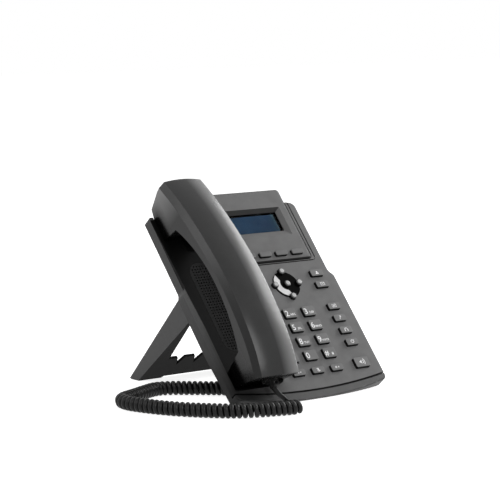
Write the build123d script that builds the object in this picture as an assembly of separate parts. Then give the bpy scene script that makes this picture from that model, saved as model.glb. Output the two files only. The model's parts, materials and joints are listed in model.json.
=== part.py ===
from build123d import *

import os
from math import cos, pi, radians, sin, tan

# A desk telephone on a leaning stand, with a corded handset lying in its cradle.
# Millimetres. The desk is z = 0, X runs across the telephone and Y towards its back.
# Pieces are drawn in the deck's own frame: u across, v up the deck, w out of it.
# The deck then leans back by LEAN, and its front edge stands DECK_RISE above the desk.

# ---- how the deck stands
LEAN = 49.0
DECK_RISE = 9.3
FOOT_HEIGHT = 0.8

# ---- base casing
BASE_WIDTH = 160.8
HEAD_STEP_LEFT = 2.4
HEAD_STEP_RIGHT = 4.0
BASE_TOP = 188.0
STEP_V = 110.0
STEP_LENGTH = 5.0
BASE_DEPTH = 15.0
BOTTOM_DEPTH = 10.4
TAPER_V = 50.0
PARTING = 6.0
WALL = 2.2
BOW = 6.6
CHIN_LENGTH = 8.8
CHIN_BOW = 9.4
GROOVE_V = -1.8
GROOVE = 1.0
TOP_CORNER = 6.0
TOP_LEFT_CORNER = 2.0
BOTTOM_CORNER = 5.0
STEP_CORNER = 6.0
EDGE_ROUND = 1.2
RIM_HIGH_V = 70.0
RIM_LOW_V = 214.0

# ---- rear housing, where the stand and the jacks are
HUMP_WIDTH = 116.0
HUMP_LOW = 62.0
HUMP_HIGH = 172.0
HUMP_DEPTH = 25.5

# ---- cradle
CRADLE_MARGIN = 2.0
CRADLE_NECK_MARGIN = 1.4
CRADLE_LOW = 8.0
CRADLE_DEPTH = 7.5
CRADLE_CORNER = 8.0
CRADLE_FLOOR = 1.5

# ---- speaker grille
GRILLE_V = 93.0
GRILLE_WIDTH = 25.0
GRILLE_LENGTH = 91.0
GRILLE_THICK = 1.0
GRILLE_LEDGE = 1.2
HOLE_PITCH = 2.8
HOLE_RADIUS = 0.75

# ---- display
PANEL_LEFT = -18.4
PANEL_RIGHT = 65.5
PANEL_LOW = 127.2
PANEL_OVERHANG = 14.2
PANEL_PROUD = 1.1
PANEL_THICK = 3.2
PANEL_BEVEL = 0.9
PANEL_BEVEL_WIDTH = 2.0
PANEL_CORNER = 3.0
PANEL_HEAD_GAP = 1.0
FRAME_SIDE = 3.4
FRAME_LOW = 2.0
FRAME_GROOVE = 0.7
FRAME_GROOVE_DEPTH = 0.9
FRAME_GAP = 0.4
PANEL_HEAD_DEPTH = 9.0
SCREEN_LEFT = -4.9
SCREEN_RIGHT = 52.4
SCREEN_LOW = 159.1
SCREEN_HIGH = 179.6
SCREEN_BEVEL_U = 4.4
SCREEN_BEVEL_LOW = 6.4
SCREEN_BEVEL_HIGH = 3.6
SCREEN_SINK = 2.6
LENS_MARGIN = 1.0
LENS_THICK = 1.2
LCD_MARGIN = 4.0
LCD_THICK = 3.6

# ---- keys: each is a cap through the deck, held from below by its flange
KEY_PROUD = 2.6
KEY_GAP = 0.3
KEY_CORNER = 1.2
KEY_FLANGE = 0.9
KEY_FLANGE_THICK = 1.0
KEY_HANG = 0.2
KEY_TRAVEL = 1.2
KEY_ROUND = 0.5
DIGIT_LEFT = -15.8
DIGIT_LOW = 24.9
DIGIT_PITCH_U = 20.6
DIGIT_PITCH_V = 14.35
DIGIT_WIDTH = 12.7
DIGIT_HEIGHT = 9.6
FUNCTION_LEFT = 54.5
FUNCTION_LOW = 33.9
FUNCTION_PITCH = 12.5
FUNCTION_WIDTH = 12.7
FUNCTION_HEIGHT = 6.5
PAIR_LEFT = 53.7
PAIR_LOW = 94.8
PAIR_PITCH = 12.0
PAIR_WIDTH = 13.5
BOTTOM_ROW_LOW = 11.7
BOTTOM_ROW_HEIGHT = 6.0
SPEAKER_LEFT = 52.5
SPEAKER_LOW = 11.4
SPEAKER_WIDTH = 15.2
SOFT_LEFT = -8.5
SOFT_LOW = 131.3
SOFT_PITCH = 17.63
SOFT_WIDTH = 12.5
SOFT_HEIGHT = 4.7
NAV_U = 23.9
NAV_V = 102.5
NAV_REACH = 12.9
NAV_RADIUS = 3.05
NAV_PROUD = 3.4
NAV_DOME = 1.4
NAV_PLATE_RADIUS = 13.2
NAV_PLATE_PROUD = 0.5
NAV_PLATE_GAP = 0.15

# ---- inside the base
MAT_PAD_GAP = 0.2
MAT_PAD_HEIGHT = 0.8
MAT_THICK = 1.0
MAT_MARGIN = 1.0
MAT_LOW = 9.0
BOARD_GAP = 0.3
BOARD_THICK = 1.6
BOARD_LEFT = -20.0
BOARD_RIGHT = 69.5
BOARD_LOW = 15.0
BOARD_HIGH = 121.0
SCREW_PLACES = [(-20.1, 22.0), (-20.1, 121.0), (73.5, 24.0), (71.6, 170.0)]
BOSS_RADIUS = 3.2
SCREW_RADIUS = 1.3
SCREW_HEAD_RADIUS = 2.4
SCREW_HEAD_HEIGHT = 1.6
LOUDSPEAKER_WIDTH = 22.0
LOUDSPEAKER_LENGTH = 42.0
LOUDSPEAKER_DEPTH = 7.0
LOUDSPEAKER_U = -43.0
LOUDSPEAKER_LOW = 97.0

# ---- hook switch lever under the ear end
HOOK_GRILLE_GAP = 12.5
HOOK_WIDTH = 8.0
HOOK_LENGTH = 14.0
HOOK_GAP = 0.4
HOOK_RISE = 3.0
HOOK_FLANGE = 1.2

# ---- jacks in the rear housing's lower wall
CORD_JACK_U = -17.1
HEADSET_JACK_U = -3.0
CORD_JACK_WIDTH = 11.0
CORD_JACK_DEPTH = 15.0
CORD_SOCKET_WIDTH = 8.0
SOCKET_HEIGHT = 6.4
SOCKET_DEPTH = 11.0
LAN_JACK_U = 14.0
PC_JACK_U = 32.0
LAN_JACK_WIDTH = 16.0
LAN_JACK_DEPTH = 18.0
LAN_SOCKET_WIDTH = 12.0
LAN_SOCKET_HEIGHT = 8.0
POWER_JACK_U = 48.0
POWER_JACK_WIDTH = 9.0
POWER_HOLE_HEIGHT = 8.0
POWER_HOLE_RADIUS = 2.9
POWER_PIN_RADIUS = 1.0
JACK_SKIN = 1.2
JACK_GAP = 0.1

# ---- cord
CORD_DIAMETER = 4.2
COIL_DIAMETER = 11.8
PLUG_WIDTH = 7.6
PLUG_HEIGHT = 6.0
PLUG_INSIDE = 9.0
PLUG_OUTSIDE = 2.0
RELIEF_LENGTH = 5.0
RELIEF_RADIUS = 2.7

# ---- handset
HANDSET_MARGIN = 8.4
HANDSET_WIDTH = 45.0
HANDSET_WALL = 2.0
CROWN = 2.0
SHOULDER_DROP = 6.0
SHOULDER_INSET = 3.4
SKIRT = 9.5
CUP_W = -CRADLE_DEPTH
EAR_LOW = 164.0
EAR_HIGH = 187.0
EAR_TIP_V = 195.5
EAR_TIP_W = -5.0
EAR_TOP_V = 202.2
EAR_TOP_W = 14.8
EAR_END_V = 202.0
EAR_END_W = 12.6
MOUTH_LOW = 14.0
MOUTH_HIGH = 29.0
MOUTH_END_V = 7.4
MOUTH_END_W = 13.0
MOUTH_TOP_V = 7.4
MOUTH_TOP_W = 19.6
GRIP_HIGH_V = 161.0
GRIP_HIGH_W = 12.5
GRIP_MID_V = 92.0
GRIP_MID_W = 28.4
GRIP_LOW_V = 34.0
GRIP_LOW_W = 17.0
GRIP_SOLID_HIGH = 142.0
GRIP_SOLID_LOW = 50.0
TOP_LINE = [
    (2.5, 26.0),
    (12.0, 29.7),
    (25.0, 33.6),
    (50.0, 37.7),
    (80.0, 39.8),
    (114.0, 38.8),
    (147.0, 34.9),
    (182.0, 28.3),
    (204.5, 22.0),
]
BACK_STEPS = 24
EARPIECE_RADIUS = 15.0
EARPIECE_HEIGHT = 6.0
MICROPHONE_RADIUS = 4.85
MICROPHONE_HEIGHT = 5.0
SOUND_HOLE_RADIUS = 1.1
HANDSET_SOCKET_U = -47.0
HANDSET_SOCKET_V = 8.0
HANDSET_SOCKET_W = 8.0

# ---- desk stand
STAND_WIDTH = 140.0
STAND_WALL = 2.5
STAND_FRONT_V = 92.2
STAND_BACK_V = 116.8
STAND_FRONT_FOOT = 97.3
STAND_BACK_FOOT = 106.4
STAND_SEAT_GAP = 0.3
WINDOW_HIGH_W = -31.0
WINDOW_HIGH_HALF = 66.0
WINDOW_LOW_HALF = 55.5
BAR_TOP_W = -91.5
NOTCH_COUNT = 5
NOTCH_PITCH = 18.4
NOTCH_DEPTH = 13.0
NOTCH_STEEP = 5.3
NOTCH_SLOPE = 2.8
NOTCH_U = -40.8
FOOT_LENGTH_U = 26.0
BAR_LIFT = 0.8
TAB_U = 42.0
TAB_WIDTH = 12.0
TAB_LENGTH = 7.0
TAB_GAP = 0.3

# ---- front foot
FRONT_FOOT_LENGTH = 76.0
FRONT_FOOT_WIDTH = 3.6
FRONT_FOOT_Y = 2.5

HALF_BASE = BASE_WIDTH / 2
HEAD_LEFT = HEAD_STEP_LEFT - HALF_BASE
HEAD_RIGHT = HALF_BASE - HEAD_STEP_RIGHT
HANDSET_LEFT = HANDSET_MARGIN - HALF_BASE
HANDSET_RIGHT = HANDSET_LEFT + HANDSET_WIDTH
HANDSET_U = HANDSET_LEFT + HANDSET_WIDTH / 2
CRADLE_RIGHT = HANDSET_RIGHT + CRADLE_MARGIN
GRILLE_U = HANDSET_U
HOOK_U = HANDSET_U
HOOK_V = GRILLE_V + GRILLE_LENGTH / 2 + HOOK_GRILLE_GAP + HOOK_LENGTH / 2
PANEL_HIGH = BASE_TOP + PANEL_OVERHANG
PANEL_HEAD_V = BASE_TOP + PANEL_HEAD_GAP
CHIN_V = GROOVE_V - CHIN_LENGTH
BOW_RADIUS = (HALF_BASE**2 + BOW**2) / (2 * BOW)
CHIN_RADIUS = (HALF_BASE**2 + CHIN_BOW**2) / (2 * CHIN_BOW)
FAR = 400.0
DECK = Pos(0, -FRONT_FOOT_Y, DECK_RISE) * Rot(LEAN, 0, 0)
SINE = sin(radians(LEAN))
COSINE = cos(radians(LEAN))


# ---------------------------------------------------------------- helpers
def slab(face, low, high):
    """A flat face of the deck's frame, thickened from height low to height high."""
    return extrude(Pos(0, 0, low) * face, high - low, dir=(0, 0, 1))


def block(left, low, bottom, right, high, top):
    """A box between two corners."""
    middle = Pos((left + right) / 2, (low + high) / 2, (bottom + top) / 2)
    return middle * Box(right - left, high - low, top - bottom)


def rounded(left, low, width, height, radius, grow=0.0):
    """A rounded rectangle from its lower left corner, grown by grow on every side."""
    middle = Pos(left + width / 2, low + height / 2)
    return middle * RectangleRounded(width + 2 * grow, height + 2 * grow, radius + grow)


def side_prism(points, left, right):
    """An outline in v and w, extruded across the telephone from left to right."""
    face = Plane.YZ.offset(left) * Polygon(*points, align=None)
    return extrude(face, right - left, dir=(1, 0, 0))


def peg(u, v, radius, low, high):
    """An upright cylinder of the deck's frame."""
    return slab(Pos(u, v) * Circle(radius), low, high)


def above_bow(v):
    """The area above a bowed line that crosses the middle of the deck at v."""
    return Pos(0, v + BOW_RADIUS) * Circle(BOW_RADIUS)


def height_of(v, level):
    """The w of the horizontal plane at the given level above the desk, at v."""
    return (level - DECK_RISE - v * SINE) / COSINE


def sunk(solid):
    """Cuts off what lies under the base's flat sole."""
    sole = Pos(0, 0, FOOT_HEIGHT - FAR / 2) * Box(2 * FAR, 2 * FAR, FAR)
    return solid - DECK.inverse() * sole


# ---------------------------------------------------------------- base casing
def base_outline():
    """The base seen square on: a bowed chin, two straight sides and a narrower head."""
    step = STEP_LENGTH / 2
    corners = [
        (-HALF_BASE, CHIN_V - BOW),
        (HALF_BASE, CHIN_V - BOW),
        (HALF_BASE, STEP_V - step),
        (HEAD_RIGHT, STEP_V + step),
        (HEAD_RIGHT, BASE_TOP),
        (HEAD_LEFT, BASE_TOP),
        (HEAD_LEFT, STEP_V + step),
        (-HALF_BASE, STEP_V - step),
    ]
    face = Polygon(*corners, align=None) & (Pos(0, CHIN_V + CHIN_RADIUS) * Circle(CHIN_RADIUS))
    low = [v for v in face.vertices() if v.Y < STEP_V / 2]
    face = fillet(low, BOTTOM_CORNER)
    high = [v for v in face.vertices() if v.Y > BASE_TOP - 1 and v.X > 0]
    face = fillet(high, TOP_CORNER)
    high = [v for v in face.vertices() if v.Y > BASE_TOP - 1 and v.X < HEAD_LEFT + 1]
    face = fillet(high, TOP_LEFT_CORNER)
    steps = [v for v in face.vertices() if abs(v.Y - STEP_V) < STEP_LENGTH]
    return fillet(steps, STEP_CORNER)


def back_profile(thickness):
    """The base from the side, its back drawn in by thickness; it tapers to the chin."""
    slope = (BASE_DEPTH - BOTTOM_DEPTH) / (TAPER_V - CHIN_V)
    low_v = CHIN_V - BOW
    low_w = -BOTTOM_DEPTH + slope * (CHIN_V - low_v) + thickness
    return [
        (low_v, FAR),
        (FAR, FAR),
        (FAR, -BASE_DEPTH + thickness),
        (TAPER_V, -BASE_DEPTH + thickness),
        (low_v, low_w),
    ]


def base_body():
    """The whole base as one solid, before it is split and hollowed."""
    body = slab(base_outline(), -BASE_DEPTH, 0)
    rim = body.edges().group_by(Axis.Z)[-1]
    body = fillet(rim, EDGE_ROUND)
    return sunk(body & side_prism(back_profile(0), -FAR, FAR))


def cradle_area(grow=0.0):
    """The cradle's recess, open at the top of the base."""
    left = -HALF_BASE - WALL
    low = CRADLE_LOW - grow
    right = CRADLE_RIGHT + grow
    box = Polygon((left, low), (right, low), (right, FAR), (left, FAR), align=None)
    corner = [v for v in box.vertices() if v.Y < low + 1 and v.X > left + 1]
    box = fillet(corner, CRADLE_CORNER)
    inside = offset(base_outline(), amount=grow - WALL)
    neck_left = HANDSET_LEFT - CRADLE_NECK_MARGIN - grow
    neck = Polygon(
        (neck_left, STEP_V + STEP_LENGTH),
        (right, STEP_V + STEP_LENGTH),
        (right, BASE_TOP + WALL),
        (neck_left, BASE_TOP + WALL),
        align=None,
    )
    return (inside & box) + neck


def cradle_mouth():
    """The part of the cradle that runs out through the top of the base."""
    left = HANDSET_LEFT - CRADLE_NECK_MARGIN
    low = BASE_TOP - TOP_CORNER
    right = CRADLE_RIGHT + CRADLE_FLOOR
    points = [(left, low), (right, low), (right, BASE_TOP + WALL), (left, BASE_TOP + WALL)]
    return Polygon(*points, align=None)


def rim_wedge():
    """What is cut off the cradle's rim, which falls away towards the top of the base."""
    wedge = [
        (RIM_HIGH_V, 0),
        (RIM_LOW_V, -CRADLE_DEPTH),
        (FAR, -CRADLE_DEPTH),
        (FAR, FAR),
        (RIM_HIGH_V, FAR),
    ]
    return side_prism(wedge, -FAR, CRADLE_RIGHT)


def grille_area(grow=0.0):
    """The long rounded field of the speaker grille."""
    width = GRILLE_WIDTH + 2 * grow
    length = GRILLE_LENGTH + 2 * grow
    return Pos(GRILLE_U, GRILLE_V) * Rot(0, 0, 90) * SlotOverall(length, width)


def nav_area(grow=0.0):
    """The round navigation plate."""
    return Pos(NAV_U, NAV_V) * Circle(NAV_PLATE_RADIUS + grow)


def panel_hole():
    """The opening in the deck that the display panel fills."""
    width = PANEL_RIGHT - PANEL_LEFT + 2 * FRAME_SIDE
    left = PANEL_LEFT - FRAME_SIDE
    return rounded(left, PANEL_LOW - FRAME_LOW, width, FAR, PANEL_CORNER, FRAME_GAP)


def hook_area(grow=0.0):
    """The hook lever's outline in the cradle's floor."""
    left = HOOK_U - HOOK_WIDTH / 2
    low = HOOK_V - HOOK_LENGTH / 2
    return rounded(left, low, HOOK_WIDTH, HOOK_LENGTH, KEY_CORNER, grow)


def upper_casing(keys):
    """The deck, its walls down to the parting line and the cradle's tub."""
    deck = base_body() & slab(above_bow(GROOVE_V), -PARTING, FAR)
    room = offset(base_outline(), amount=-WALL) & above_bow(GROOVE_V + WALL)
    tub = slab(cradle_area(CRADLE_FLOOR), -CRADLE_DEPTH - CRADLE_FLOOR, 0)
    tub = tub & slab(room, -FAR, FAR)
    shell = deck - slab(room, -PARTING - 1, -WALL) + tub
    shell = shell - slab(cradle_area(), -CRADLE_DEPTH, FAR)
    shell = shell - rim_wedge()
    floor = -CRADLE_DEPTH - CRADLE_FLOOR
    shell = shell - slab(grille_area(KEY_GAP / 2), -CRADLE_DEPTH - GRILLE_THICK, FAR)
    shell = shell - slab(grille_area(-GRILLE_LEDGE), floor - 1, FAR)
    shell = shell - slab(hook_area(HOOK_GAP), floor - 1, FAR)
    shell = shell - slab(nav_area(NAV_PLATE_GAP), -WALL - 1, FAR)
    shell = shell - slab(panel_hole(), -WALL, FAR)
    for u, v in SCREW_PLACES:
        shell = shell + peg(u, v, BOSS_RADIUS, -PARTING, -WALL)
        shell = shell - peg(u, v, SCREW_RADIUS, -FAR, -WALL)
    for key in keys:
        if key.carrier != "panel":
            shell = shell - slab(key.outline(KEY_GAP), -WALL - 1, FAR)
    return shell


def hump_area(inset=0.0):
    """The rear housing's outline."""
    width = HUMP_WIDTH - 2 * inset
    height = HUMP_HIGH - HUMP_LOW - 2 * inset
    return rounded(-width / 2, HUMP_LOW + inset, width, height, TOP_CORNER / 2 - inset)


def back_height(u, v):
    """The w of the base's back at a place, the rear housing included."""
    if abs(u) < HUMP_WIDTH / 2 and HUMP_LOW < v < HUMP_HIGH:
        return -HUMP_DEPTH
    slope = (BASE_DEPTH - BOTTOM_DEPTH) / (TAPER_V - CHIN_V)
    return -BASE_DEPTH + slope * max(TAPER_V - v, 0)


def screw_seat(u, v):
    """The w of the outer face of a casing screw's head."""
    return back_height(u, v + SCREW_HEAD_RADIUS) + KEY_GAP


def lower_casing():
    """The back shell: a shallow pan with the chin, the rear housing and the bosses."""
    body = base_body()
    pan = body - slab(above_bow(GROOVE_V - GROOVE), -PARTING, FAR)
    room = offset(base_outline(), amount=-WALL) & above_bow(GROOVE_V + WALL)
    hollow = slab(room, -BASE_DEPTH, FAR) & side_prism(back_profile(WALL), -FAR, FAR)
    hump = slab(hump_area(), -HUMP_DEPTH, -BASE_DEPTH + WALL)
    inside = slab(hump_area(WALL), WALL - HUMP_DEPTH, FAR)
    shell = pan + hump - hollow - inside
    shell = shell - slab(cradle_mouth(), -CRADLE_DEPTH - CRADLE_FLOOR, FAR) - rim_wedge()
    for u, v in SCREW_PLACES:
        post = peg(u, v, BOSS_RADIUS, -FAR, -PARTING)
        shell = shell + (post & (body + hump))
        shell = shell - peg(u, v, SCREW_RADIUS, -FAR, FAR)
        head_top = screw_seat(u, v) + SCREW_HEAD_HEIGHT
        shell = shell - peg(u, v, SCREW_HEAD_RADIUS, -FAR, head_top)
    for jack in all_jacks():
        shell = shell - jack.body(JACK_GAP, WALL)
    for side in (-1, 1):
        shell = shell - stand_tab(side, TAB_GAP)
    return shell


# ---------------------------------------------------------------- display
def panel_frame():
    """The flat border of the panel, level with the deck, up to the top of the base."""
    width = PANEL_RIGHT - PANEL_LEFT + 2 * FRAME_SIDE
    left = PANEL_LEFT - FRAME_SIDE
    whole = rounded(left, PANEL_LOW - FRAME_LOW, width, FAR, PANEL_CORNER)
    below = Polygon(
        (left, 0), (left + width, 0), (left + width, BASE_TOP), (left, BASE_TOP), align=None
    )
    return whole & below


def display_bezel(keys):
    """The panel around the screen; its head stands above the top of the base."""
    width = PANEL_RIGHT - PANEL_LEFT
    height = PANEL_HIGH - PANEL_LOW
    outline = rounded(PANEL_LEFT, PANEL_LOW, width, height, PANEL_CORNER)
    plate = slab(outline, PANEL_PROUD - PANEL_THICK, PANEL_PROUD)
    top = plate.edges().group_by(Axis.Z)[-1]
    plate = chamfer(top, PANEL_BEVEL, PANEL_BEVEL_WIDTH)
    head = outline & rounded(PANEL_LEFT, PANEL_HEAD_V, width, height, 1.0)
    plate = plate + slab(head, -PANEL_HEAD_DEPTH, PANEL_PROUD - PANEL_THICK)
    plate = plate + slab(panel_frame(), PANEL_PROUD - PANEL_THICK, 0)
    groove = rounded(PANEL_LEFT, PANEL_LOW, width, height, PANEL_CORNER, FRAME_GROOVE)
    plate = plate - slab(groove - outline, -FRAME_GROOVE_DEPTH, 0)
    low = rounded(
        SCREEN_LEFT, SCREEN_LOW, SCREEN_RIGHT - SCREEN_LEFT, SCREEN_HIGH - SCREEN_LOW, 1.0
    )
    high = rounded(
        SCREEN_LEFT - SCREEN_BEVEL_U,
        SCREEN_LOW - SCREEN_BEVEL_LOW,
        SCREEN_RIGHT - SCREEN_LEFT + 2 * SCREEN_BEVEL_U,
        SCREEN_HIGH - SCREEN_LOW + SCREEN_BEVEL_LOW + SCREEN_BEVEL_HIGH,
        1.5,
    )
    funnel = loft([Pos(0, 0, PANEL_PROUD - SCREEN_SINK) * low, Pos(0, 0, PANEL_PROUD) * high])
    plate = plate - funnel - slab(low, -PANEL_THICK, PANEL_PROUD)
    for key in keys:
        if key.carrier == "panel":
            plate = plate - slab(key.outline(KEY_GAP), -PANEL_THICK, FAR)
    return plate


def display_window():
    """The clear pane behind the panel's opening."""
    pane = rounded(
        SCREEN_LEFT,
        SCREEN_LOW,
        SCREEN_RIGHT - SCREEN_LEFT,
        SCREEN_HIGH - SCREEN_LOW,
        1.0,
        LENS_MARGIN,
    )
    top = PANEL_PROUD - PANEL_THICK
    return slab(pane, top - LENS_THICK, top)


def lcd_module():
    """The display module behind the pane."""
    top = PANEL_PROUD - PANEL_THICK - LENS_THICK
    module = rounded(
        SCREEN_LEFT,
        SCREEN_LOW,
        SCREEN_RIGHT - SCREEN_LEFT,
        SCREEN_HIGH - SCREEN_LOW,
        1.0,
        LCD_MARGIN,
    )
    return slab(module, top - LCD_THICK, top)


# ---------------------------------------------------------------- keys
class Key:
    """One key: a rounded cap, or a round domed button, with a flange under its carrier."""

    def __init__(self, name, left, low, width, height, carrier="deck"):
        self.name = name
        self.left = left
        self.low = low
        self.width = width
        self.height = height
        self.carrier = carrier

    def outline(self, grow=0.0):
        """The cap's outline, grown by grow."""
        if self.carrier == "nav_plate":
            radius = self.width / 2 + grow
            return Pos(self.left + self.width / 2, self.low + self.height / 2) * Circle(radius)
        return rounded(self.left, self.low, self.width, self.height, KEY_CORNER, grow)

    def underside(self):
        """The w of the underside of what carries the key."""
        return PANEL_PROUD - PANEL_THICK if self.carrier == "panel" else -WALL

    def top(self):
        """The w of the cap's top."""
        if self.carrier == "nav_plate":
            return NAV_PROUD
        return KEY_PROUD + (PANEL_PROUD if self.carrier == "panel" else 0)

    def solid(self):
        """The cap and its flange."""
        seat = self.underside() - KEY_HANG
        flange = slab(self.outline(KEY_FLANGE), seat - KEY_FLANGE_THICK, seat)
        cap = slab(self.outline(), seat, self.top())
        rim = cap.edges().group_by(Axis.Z)[-1]
        cap = fillet(rim, NAV_DOME if self.carrier == "nav_plate" else KEY_ROUND)
        return cap + flange


def nav_key(name, across, up):
    """One round button of the navigation group."""
    u = NAV_U + across * NAV_REACH
    v = NAV_V + up * NAV_REACH
    size = 2 * NAV_RADIUS
    return Key(name, u - NAV_RADIUS, v - NAV_RADIUS, size, size, "nav_plate")


def all_keys():
    """Every key of the telephone."""
    digits = ["star", "0", "hash", "7", "8", "9", "4", "5", "6", "1", "2", "3"]
    keys = []
    for place, digit in enumerate(digits):
        left = DIGIT_LEFT + place % 3 * DIGIT_PITCH_U
        low = DIGIT_LOW + place // 3 * DIGIT_PITCH_V
        keys.append(Key(f"key_{digit}", left, low, DIGIT_WIDTH, DIGIT_HEIGHT))
    for place, name in enumerate(["redial", "headset", "transfer", "hold"]):
        low = FUNCTION_LOW + place * FUNCTION_PITCH
        keys.append(Key(f"key_{name}", FUNCTION_LEFT, low, FUNCTION_WIDTH, FUNCTION_HEIGHT))
    for place, name in enumerate(["voicemail", "contacts"]):
        low = PAIR_LOW + place * PAIR_PITCH
        keys.append(Key(f"key_{name}", PAIR_LEFT, low, PAIR_WIDTH, FUNCTION_HEIGHT))
    for place, name in enumerate(["volume_down", "mute", "volume_up"]):
        left = DIGIT_LEFT + place * DIGIT_PITCH_U
        keys.append(Key(f"key_{name}", left, BOTTOM_ROW_LOW, DIGIT_WIDTH, BOTTOM_ROW_HEIGHT))
    keys.append(Key("key_speaker", SPEAKER_LEFT, SPEAKER_LOW, SPEAKER_WIDTH, DIGIT_HEIGHT))
    for place in range(4):
        left = SOFT_LEFT + place * SOFT_PITCH
        name = f"soft_key_{place + 1}"
        keys.append(Key(name, left, SOFT_LOW, SOFT_WIDTH, SOFT_HEIGHT, "panel"))
    arrows = {"ok": (0, 0), "up": (0, 1), "down": (0, -1), "left": (-1, 0), "right": (1, 0)}
    for name, (across, up) in arrows.items():
        keys.append(nav_key(f"nav_{name}", across, up))
    return keys


def nav_plate(keys):
    """The glossy plate that the five navigation buttons come through."""
    plate = slab(nav_area(), -WALL, NAV_PLATE_PROUD)
    for key in keys:
        if key.carrier == "nav_plate":
            plate = plate - slab(key.outline(KEY_GAP), -FAR, FAR)
    return plate


def mat_top():
    """The w of the rubber mat's sheet, under its pads."""
    rest = -WALL - KEY_HANG - KEY_FLANGE_THICK
    return rest - KEY_TRAVEL - MAT_PAD_GAP - MAT_PAD_HEIGHT


def keypad_mat(keys):
    """The rubber mat, with a pad under each key of the deck."""
    top = mat_top()
    sheet = block(
        BOARD_LEFT + MAT_MARGIN,
        MAT_LOW,
        top - MAT_THICK,
        BOARD_RIGHT - MAT_MARGIN,
        BOARD_HIGH - MAT_MARGIN,
        top,
    )
    for key in keys:
        if key.carrier != "panel":
            sheet = sheet + slab(key.outline(), top, top + MAT_PAD_HEIGHT)
    for u, v in SCREW_PLACES:
        sheet = sheet - peg(u, v, BOSS_RADIUS + KEY_GAP, -FAR, FAR)
    return sheet


def main_board():
    """The circuit board under the mat."""
    top = mat_top() - MAT_THICK
    board = block(BOARD_LEFT, BOARD_LOW, top - BOARD_THICK, BOARD_RIGHT, BOARD_HIGH, top)
    for u, v in SCREW_PLACES:
        board = board - peg(u, v, BOSS_RADIUS + KEY_GAP, -FAR, FAR)
    return board


# ---------------------------------------------------------------- inside the base
def loudspeaker():
    """The hands-free loudspeaker behind the grille."""
    top = -CRADLE_DEPTH - CRADLE_FLOOR
    left = LOUDSPEAKER_U - LOUDSPEAKER_WIDTH / 2
    low = LOUDSPEAKER_LOW
    frame = rounded(left, low, LOUDSPEAKER_WIDTH, LOUDSPEAKER_LENGTH, WALL)
    magnet = rounded(left, low, LOUDSPEAKER_WIDTH, LOUDSPEAKER_LENGTH, WALL, -WALL / 2)
    step = top - LOUDSPEAKER_DEPTH / 2
    return slab(frame, step, top) + slab(magnet, top - LOUDSPEAKER_DEPTH, step)


def speaker_grille():
    """A perforated plate in the cradle's floor, its holes in a square grid."""
    field = grille_area()
    radius = GRILLE_WIDTH / 2 - HOLE_PITCH / 2
    straight = GRILLE_LENGTH / 2 - GRILLE_WIDTH / 2
    rows = int(GRILLE_LENGTH / HOLE_PITCH / 2)
    columns = int(GRILLE_WIDTH / HOLE_PITCH / 2) + 1
    holes = []
    for row in range(-rows, rows + 1):
        v = row * HOLE_PITCH
        beyond = max(abs(v) - straight, 0)
        for column in range(-columns, columns + 1):
            u = column * HOLE_PITCH
            if u**2 + beyond**2 < radius**2:
                holes.append((GRILLE_U + u, GRILLE_V + v))
    field = field - [Pos(u, v) * Circle(HOLE_RADIUS) for u, v in holes]
    return slab(field, -CRADLE_DEPTH - GRILLE_THICK, -CRADLE_DEPTH)


def hook_lever():
    """The hook switch's plunger, held down by the handset's ear end."""
    stop = -CRADLE_DEPTH - CRADLE_FLOOR - HOOK_RISE - KEY_HANG
    stem = slab(hook_area(), stop, -CRADLE_DEPTH)
    flange = slab(hook_area(HOOK_FLANGE), stop - KEY_FLANGE_THICK, stop)
    return stem + flange


def casing_screws():
    """The four screws that hold the two shells together, as one group."""
    screws = []
    for u, v in SCREW_PLACES:
        seat = screw_seat(u, v)
        shaft = peg(u, v, SCREW_RADIUS, seat, -PARTING / 2)
        screws.append(shaft + peg(u, v, SCREW_HEAD_RADIUS, seat, seat + SCREW_HEAD_HEIGHT))
    return Compound([screw.solid() for screw in screws])


# ---------------------------------------------------------------- jacks
class Jack:
    """A socket block set flush in the rear housing's lower wall."""

    def __init__(self, u, width, depth, socket_width, socket_height):
        self.u = u
        self.width = width
        self.depth = depth
        self.socket_width = socket_width
        self.socket_height = socket_height
        self.floor = WALL - HUMP_DEPTH

    def middle(self):
        """The w of the socket's middle."""
        return self.floor + JACK_SKIN + self.socket_height / 2

    def body(self, grow=0.0, depth=None):
        """The block, or the cut for it through a wall of the given depth."""
        half = self.width / 2 + grow
        high = self.floor + 2 * JACK_SKIN + self.socket_height + grow
        reach = depth + grow if depth else self.depth
        low_v = HUMP_LOW - grow
        return block(self.u - half, low_v, self.floor, self.u + half, HUMP_LOW + reach, high)

    def socket(self):
        """The socket's room."""
        half = self.socket_width / 2
        low = self.floor + JACK_SKIN
        high = low + self.socket_height
        return block(self.u - half, HUMP_LOW, low, self.u + half, HUMP_LOW + SOCKET_DEPTH, high)


def cord_jack(u):
    """A small socket for a handset or headset cord."""
    return Jack(u, CORD_JACK_WIDTH, CORD_JACK_DEPTH, CORD_SOCKET_WIDTH, SOCKET_HEIGHT)


def network_jack(u):
    """A socket for a network cable."""
    return Jack(u, LAN_JACK_WIDTH, LAN_JACK_DEPTH, LAN_SOCKET_WIDTH, LAN_SOCKET_HEIGHT)


def supply_jack():
    """The block of the round supply socket."""
    return Jack(POWER_JACK_U, POWER_JACK_WIDTH, CORD_JACK_DEPTH, 0, POWER_HOLE_HEIGHT)


def all_jacks():
    """Every jack, in a row along the rear housing's lower wall."""
    cords = [cord_jack(CORD_JACK_U), cord_jack(HEADSET_JACK_U)]
    return cords + [network_jack(LAN_JACK_U), network_jack(PC_JACK_U), supply_jack()]


def jack_pair(jacks):
    """Two like jacks as one group of separate solids."""
    return Compound([(jack.body() - jack.socket()).solid() for jack in jacks])


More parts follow.
